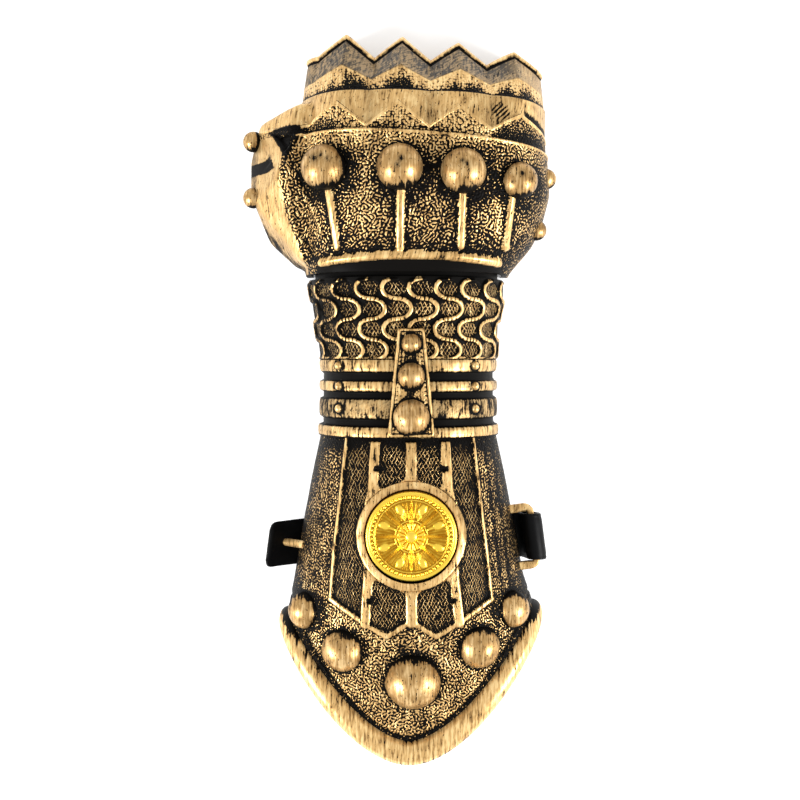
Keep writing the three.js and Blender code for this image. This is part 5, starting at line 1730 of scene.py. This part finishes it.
@dataclass
class Studs:
    """All ball studs, each on the shell that carries it."""

    hand: HandGuard
    skin: ForearmSkin
    plate_x: float = 5.0
    plate_lift: float = 3.4
    dents: dict[str, tuple[Triple, ...]] = field(default_factory=lambda: {
        "knuckle_stud_index": ((-0.38, 0.3, 0.13), (0.18, 0.26, 0.1), (-0.1, 0.42, 0.09)),
        "knuckle_stud_middle": ((0.06, 0.22, 0.11), (-0.1, -0.05, 0.08)),
        "knuckle_stud_ring": ((0.1, 0.16, 0.1), (-0.1, 0.3, 0.08)),
        "knuckle_stud_little": ((0.08, 0.3, 0.12), (-0.45, -0.2, 0.1)),
    })

    def normal(self, height: object, x: float, y: float) -> Triple:
        """Unit normal of a surface given by its height over the plan."""
        fall_x = height(x - 0.5, y) - height(x + 0.5, y)
        fall_y = height(x, y - 0.5) - height(x, y + 0.5)
        return tuple(Vector((fall_x, fall_y, 1.0)).normalized())

    def build(self, material: Material) -> None:
        """Makes all studs."""
        def forearm(x: float, y: float) -> float:
            """Height of the forearm guard."""
            return float(self.skin.over(np.array([x]), np.array([y]))[0])

        for name, x, y, radius, rise in KNUCKLE_STUDS:
            centre = (x, y, self.hand.over(x, y) + rise)
            normal = self.normal(self.hand.over, x, y)
            stud = Stud(name, centre, normal, rise * normal[2], radius, -1.0, dents=self.dents[name])
            stud.build(material)
        for name, x, y, z, radius in SIDE_STUDS:
            Stud(name, (x, y, z), (math.copysign(1, x), 0, 0.25), 1.2, radius, -1.0).build(material)
        for name, x, y, radius, rise in ELBOW_STUDS:
            centre = (x, y, forearm(x, y) + rise)
            normal = self.normal(forearm, x, y)
            Stud(name, centre, normal, rise * normal[2], radius, 1.0, 0.35, 0.42).build(material)
        for name, y, radius in PLATE_STUDS:
            centre = (self.plate_x, y, forearm(self.plate_x, y) + self.plate_lift)
            Stud(name, centre, (0, 0, 1), -0.2, radius, -1.0).build(material)


@dataclass
class StudPlate:
    """The tapered plate on the wrist bands."""

    skin: ForearmSkin
    x: float = 5.0
    top: float = 30.0
    bottom: float = -18.6
    top_width: float = 12.2
    bottom_width: float = 21.4
    seat: float = 0.3
    lift: float = 3.4

    def build(self, material: Material) -> None:
        """Makes the plate."""
        rows, columns = 190, 84
        t = np.linspace(0, 1, rows)[:, None]
        y = self.top + (self.bottom - self.top) * t + np.zeros((1, columns))
        half = (self.top_width + (self.bottom_width - self.top_width) * t) / 2
        share = np.linspace(-1, 1, columns)[None, :] + 0 * y
        x = self.x + share * half
        side = (1 - np.abs(share)) * half
        end = np.minimum(self.top - y, y - self.bottom)
        border = np.minimum(side, end)
        corner = np.where((side < 2) & (end < 2), 2 - np.hypot(2 - side, 2 - end), border)
        fall = 1.6 * (1 - np.sqrt(np.clip(1 - (1 - np.clip(corner, 0, 1)) ** 2, 0, 1)))
        line = np.exp(-((border - 1.75) / 0.28) ** 2)
        dots = np.clip(np.cos(y * 2 * math.pi / 1.9), 0, 1) ** 2 * np.exp(-((side - 2.7) / 0.4) ** 2)
        z = self.skin.over(x, y) + self.lift - fall - 0.3 * line - 0.35 * dots
        gold = 0.72 - 0.6 * line - 0.8 * dots - 0.5 * smoothstep(0.5, 0.1, border) + 0.14 * (border < 1.5)
        # Painted shadow in a ring round the foot of each stud.
        for _, stud_y, radius in PLATE_STUDS:
            out = np.hypot(x - self.x, y - stud_y) - radius
            gold = gold - 0.45 * np.exp(-np.clip(out, 0, 9) ** 2 / 1.2)
        for gap in (16, 0.8):
            gold = gold - 0.35 * np.exp(-(((x - self.x) / 3.0) ** 2 + ((y - gap) / 2.0) ** 2))
        points = np.stack([x, y, z], axis=-1)
        sheet = Sheet(points).with_plain_weights()
        sheet.weights[PAINT] = np.clip(gold, 0, 1)
        sheet.weights[Grain.PEBBLE.value] = 0.32 * smoothstep(2.0, 2.6, border)
        low_t = np.linspace(0, 1, 20)[:, None]
        low_half = (self.top_width + (self.bottom_width - self.top_width) * low_t) / 2
        low_x = self.x + np.linspace(-1, 1, 12)[None, :] * low_half
        low_y = self.top + (self.bottom - self.top) * low_t + 0 * low_x
        low = Sheet(np.stack([low_x, low_y, self.skin.over(low_x, low_y) + self.seat], axis=-1))
        solid = shell(sheet, low.with_plain_weights())
        show("tapered_plate", [solid], material, ["stud_plate"])


# ---------------------------------------------------------------- medallion

@dataclass
class Medallion:
    """A round gold inset with a generic sunburst: a rolled edge, beads, eight rays, petals and a boss."""

    skin: ForearmSkin
    x: float = 5.0
    y: float = -62.2
    radius: float = 20.2
    thickness: float = 3.0
    tilt: float = 0.1
    frame_lift: float = 1.3
    well_depth: float = 4.2
    rays: int = 8
    beads: int = 56

    def face(self, r: Array, turn: Array) -> Array:
        """Relief of the face over its plain level."""
        edge = round_bead(np.abs(r - self.radius + 1.0), 2.0, 0.9)
        ring = round_bead(np.abs(r - self.radius + 3.9), 0.8, 0.35)
        pitch = 2 * math.pi / self.beads
        swing = (np.mod(turn, pitch) - pitch / 2) * (self.radius - 2.6)
        pearls = round_bead(np.hypot(r - (self.radius - 2.6), swing), 1.5, 0.55)
        fold = np.abs(np.mod(turn * self.rays / (2 * math.pi), 1.0) * 2 - 1)
        reach = (r - 6.0) / 9.6
        half = 0.46 * (1 - np.clip(reach, 0, 1))
        ray = np.clip(1 - (1 - fold) / np.maximum(half, 0.02), 0, 1)
        ray = 1.25 * ray * (reach > -0.1) * smoothstep(16.2, 15.2, r)
        between = np.abs(np.mod(turn * self.rays / (2 * math.pi) + 0.5, 1.0) * 2 - 1)
        beside = (1 - between) * r * math.pi / self.rays
        spoke = round_bead(beside, 1.1, 0.5) * smoothstep(7.0, 8.2, r) * smoothstep(15.4, 14.6, r)
        leaf = round_bead(np.hypot((r - 12.9) / 1.5, beside), 3.6, 0.75)
        petals = np.abs(np.sin(turn * self.rays)) ** 0.7
        rose = (0.75 * petals + 0.25) * smoothstep(6.8, 5.9, r) * smoothstep(2.4, 3.2, r)
        boss = 1.25 * np.sqrt(np.clip(1 - (r / 2.9) ** 2, 0, 1))
        collar = round_bead(np.abs(r - 7.1), 0.8, 0.45)
        fan = 0.2 * np.abs(np.cos(turn * self.beads / 2)) * smoothstep(7.5, 9, r) * smoothstep(16, 15, r)
        forms = [edge * 0.8, ring, pearls, ray, spoke, leaf * 0.85, rose, boss, collar, fan]
        return 1.25 * np.maximum.reduce(forms)

    def build(self, material: Material) -> None:
        """Makes the medallion."""
        turns, radii = 384, np.linspace(0.05, self.radius, 84)
        turn = np.linspace(0, 2 * math.pi, turns, endpoint=False)[None, :]
        r = radii[:, None] + 0 * turn
        face = self.face(r, turn + 0 * r)
        face[-1] = 0.15
        wall = [(self.radius, -0.9), (self.radius, -self.thickness + 0.3),
                (self.radius - 0.4, -self.thickness), (0.1, -self.thickness)]
        rs = np.vstack([r] + [np.full((1, turns), a) for a, _ in wall])
        zs = np.vstack([face] + [np.full((1, turns), b) for _, b in wall])
        angle = turn + 0 * rs
        local = np.stack([rs * np.cos(angle), rs * np.sin(angle), zs + self.thickness], axis=-1)
        local[..., 2] += -self.well_depth + GAP
        cosine, sine = math.cos(self.tilt), math.sin(self.tilt)
        seat = float(self.skin.over(np.array([self.x]), np.array([self.y]))[0]) + self.frame_lift
        points = np.stack([
            self.x + local[..., 0],
            self.y + local[..., 1] * cosine - local[..., 2] * sine,
            seat + local[..., 1] * sine + local[..., 2] * cosine,
        ], axis=-1)
        sheet = Sheet(points).with_plain_weights()
        # Painted shade: the face gets darker the lower it lies, so the hollows and the side wall look shaded.
        sheet.weights[PAINT] = np.clip(0.02 + zs / 0.8, 0, 1)
        show("sunburst_medallion", [skin_of_rings(sheet)], material, ["medallion"])


# ---------------------------------------------------------------- strap

@dataclass
class Strap:
    """The closing strap, the loop it folds round and the peg that it buttons on."""

    width: float = 21.4
    thickness: float = 2.0
    y: float = -66.4
    left_y: float = -71.2
    fold: tuple[float, float] = (3.2, -0.6)
    inner: Path = ((30, 4.4), (42, 4.6), (50, 5.8), (55.6, 9.2))
    outer: Path = (
        (61.4, 8), (56, 4.2), (49, 2.1), (38, 1.6), (-36, 1.6), (-43, 2.6), (-49, 5.2), (-56, 9.2),
        (-62, 13.2))
    loop_x: float = 54.6
    loop_y: float = -67.1
    loop_z: float = 16.0
    turn: float = 0.13
    reach: float = 9.4
    span: float = 30.8
    bar: float = 3.2
    post: float = 4.0
    thick: float = 3.6
    peg_foot: Triple = (-47.4, -70, 17.4)
    peg_tip: Triple = (-56.4, -70.4, 5.4)
    peg_radius: float = 1.8
    peg_head: float = 3.1
    peg_head_length: float = 2.4

    def band(self) -> Solid:
        """The strap itself."""
        bar_x = self.loop_x + (self.reach - self.bar / 2) * math.cos(self.turn)
        around = math.hypot(self.bar, self.thick) / 2 + self.thickness / 2 + 2 * GAP
        turns = np.linspace(*self.fold, 7)
        fold = [(bar_x + around * math.cos(t), self.loop_z + around * math.sin(t)) for t in turns]
        corners = np.array([(x, 0.0, z) for x, z in (*self.inner, *fold, *self.outer)])
        line = spline(corners, 220)
        share = np.clip((line[:, 0] + 62) / 92, 0, 1)
        line[:, 1] = self.left_y + (self.y - self.left_y) * share
        along = np.gradient(line * (1, 0, 1), axis=0)
        along /= np.linalg.norm(along, axis=1, keepdims=True)
        up = np.stack([-along[:, 2], 0 * along[:, 0], along[:, 0]], axis=1)
        steps = np.linalg.norm(np.diff(line, axis=0), axis=1)
        run = np.concatenate([[0], np.cumsum(steps)])
        end = np.minimum(run, run[-1] - run)
        corner = 3.2
        tuck = corner - np.sqrt(np.clip(corner**2 - np.clip(corner - end, 0, corner) ** 2, 0, None))
        half = self.width / 2 - tuck
        thin = self.thickness / 2 * np.clip(0.55 + end / 1.2, 0, 1)
        splay = -np.sign(line[:, 0]) * math.sin(self.turn) * np.clip((np.abs(line[:, 0]) - 36) / 20, 0, 1)
        turn = np.linspace(0, 2 * math.pi, 40, endpoint=False)
        u = np.sign(np.cos(turn)) * np.abs(np.cos(turn)) ** 0.18
        v = np.sign(np.sin(turn)) * np.abs(np.sin(turn)) ** 0.55
        across = half[:, None] * u
        groove = 0.16 * np.exp(-((np.abs(across) - half[:, None] + 1.7) / 0.45) ** 2)
        lift = thin[:, None] * v - np.sign(v) * groove
        points = np.stack([line[:, 0, None] + across * splay[:, None] + up[:, 0, None] * lift,
                           line[:, 1, None] + across,
                           line[:, 2, None] + up[:, 2, None] * lift], axis=-1)
        return skin_of_rings(Sheet(points).with_plain_weights())

    def loop(self) -> Solid:
        """The loop with its ends inside the guard."""
        far, half = self.reach - self.bar / 2, self.span / 2 - self.post / 2
        corner = 2.4
        quarter = [(math.sin(t), math.cos(t)) for t in np.linspace(0, math.pi / 2, 8)]
        path = [(-4.0, -half), (0, -half)]
        path += [(far - corner + corner * s, -half + corner - corner * c) for s, c in quarter]
        path += [(far - corner + corner * c, half - corner + corner * s) for s, c in quarter]
        path += [(0, half), (-4.0, half)]
        line = spline(np.array([(x, y, 0.0) for x, y in path]), 130)
        weight = smoothstep(far - 3.2, far - 0.6, line[:, 0])
        width = (self.post + (self.bar - self.post) * weight) / 2
        rings = swept(line, width, np.full(130, self.thick / 2), np.array([0, 0, 1.0]), 3.4, 24)
        cosine, sine = math.cos(self.turn), math.sin(self.turn)
        points = np.stack([self.loop_x + rings[..., 0] * cosine - rings[..., 1] * sine,
                           self.loop_y + rings[..., 0] * sine + rings[..., 1] * cosine,
                           self.loop_z + rings[..., 2]], axis=-1)
        sheet = Sheet(points).with_plain_weights(0.74)
        # Painted shade: the loop is darker on its underside.
        sheet.weights[PAINT] = 0.78 - 0.5 * smoothstep(-0.3, -1.6, rings[..., 2])
        return skin_of_rings(sheet)

    def peg(self) -> Solid:
        """The peg with its head outside the strap."""
        foot, tip = np.array(self.peg_foot), np.array(self.peg_tip)
        aim = (tip - foot) / np.linalg.norm(tip - foot)
        length = np.linalg.norm(tip - foot)
        r, head, end = self.peg_radius, self.peg_head, length + self.peg_head_length
        profile = [(0.1, -6), (r, -6), (r, 0), (r, length - 0.6), (r + 0.3, length - 0.1),
                   (head - 0.5, length), (head, length + 0.5), (head, end - 0.9), (head - 0.3, end - 0.3),
                   (head - 1.0, end), (0.1, end)]
        rings = turned(profile, 32)
        turn = np.array(Vector(aim).to_track_quat("Z", "Y").to_matrix())
        sheet = Sheet(rings @ turn.T + foot).with_plain_weights(0.7)
        return skin_of_rings(sheet)

    def build(self, black: Material, gold: Material) -> None:
        """Makes the strap, its loop and its peg."""
        show("closing_strap", [self.band()], black, ["strap"])
        show("gold_loop", [self.loop()], gold, ["strap_loop"])
        show("gold_peg", [self.peg()], gold, ["strap_peg"])


# ---------------------------------------------------------------- studio

@dataclass
class Studio:
    """Floor, light and camera."""

    camera_height: float = 0.640
    camera_y: float = 0.01665
    lens: float = 60.06
    shift: float = -0.0525

    def floor(self) -> None:
        """Lays a wide flat floor."""
        mesh = bpy.data.meshes.new("floor")
        side = 3.0
        corners = [(-side, -side, 0), (side, -side, 0), (side, side, 0), (-side, side, 0)]
        mesh.from_pydata(corners, [], [(0, 1, 2, 3)])
        mesh.materials.append(StudioFloor().material())
        floor = bpy.data.objects.new("floor", mesh)
        bpy.context.scene.collection.objects.link(floor)

    def softbox(self, name: str, place: Triple, aim: Triple, size: float, watts: float) -> None:
        """Hangs a square soft light.

        Args:
            name: The light's name.
            place: Where it hangs.
            aim: What it points at.
            size: Its side.
            watts: Its power.
        """
        light = bpy.data.lights.new(name, "AREA")
        light.shape, light.size, light.energy = "SQUARE", size, watts
        lamp = bpy.data.objects.new(name, light)
        lamp.matrix_world = Matrix.Translation(place) @ (
            (Vector(aim) - Vector(place)).to_track_quat("-Z", "Y").to_matrix().to_4x4())
        bpy.context.scene.collection.objects.link(lamp)

    def build(self) -> None:
        """Sets up the studio."""
        scene = bpy.context.scene
        self.floor()
        self.softbox("left_softbox", (-0.80, -0.40, 0.50), (0, 0, 0.04), 0.40, 12.0)
        self.softbox("right_softbox", (0.80, -0.34, 0.50), (0, 0, 0.04), 0.40, 12.0)
        self.softbox("back_fill", (0.0, 0.95, 0.45), (0, 0.26, 0.0), 0.9, 1.2)
        world = bpy.data.worlds.new("studio")
        world.use_nodes = True
        background = world.node_tree.nodes["Background"]
        background.inputs["Color"].default_value = (1, 1, 1, 1)
        background.inputs["Strength"].default_value = 0.85
        scene.world = world
        data = bpy.data.cameras.new("camera")
        data.sensor_width, data.lens, data.shift_y = 36.0, self.lens, self.shift
        data.clip_start, data.clip_end = 0.01, 20.0
        camera = bpy.data.objects.new("camera", data)
        camera.location = (0, self.camera_y, self.camera_height)
        scene.collection.objects.link(camera)
        scene.camera = camera
        scene.view_settings.view_transform = "Standard"


def dress() -> None:
    """Builds every piece in order."""
    Studio().build()
    antique = AntiqueGold().material()
    streaked = AntiqueGold(name="streaked_gold", streak=1.6, scuffs=0.6).material()
    stud = AntiqueGold(
        name="stud_gold", shade=(0.13, 0.071, 0.026, 1), gold=(0.42, 0.250, 0.094, 1),
        bright=(0.72, 0.50, 0.24, 1), streak=0.85, streak_width=0.8, mottle=0.8, scuffs=1.3).material()
    hand = HandGuard()
    skin = ForearmSkin()
    hand.build(antique)
    MailCuff(skin).build(antique)
    WristBands(skin).build(streaked)
    ForearmFlare(skin).build(antique, streaked)
    StudPlate(skin).build(antique)
    Studs(hand, skin).build(stud)
    Medallion(skin).build(MedallionGold().material())
    Strap().build(StrapBlack().material(), antique)


if __name__ == "__main__":
    logging.basicConfig(level=logging.INFO, format="%(message)s", stream=sys.stdout)
    dress()
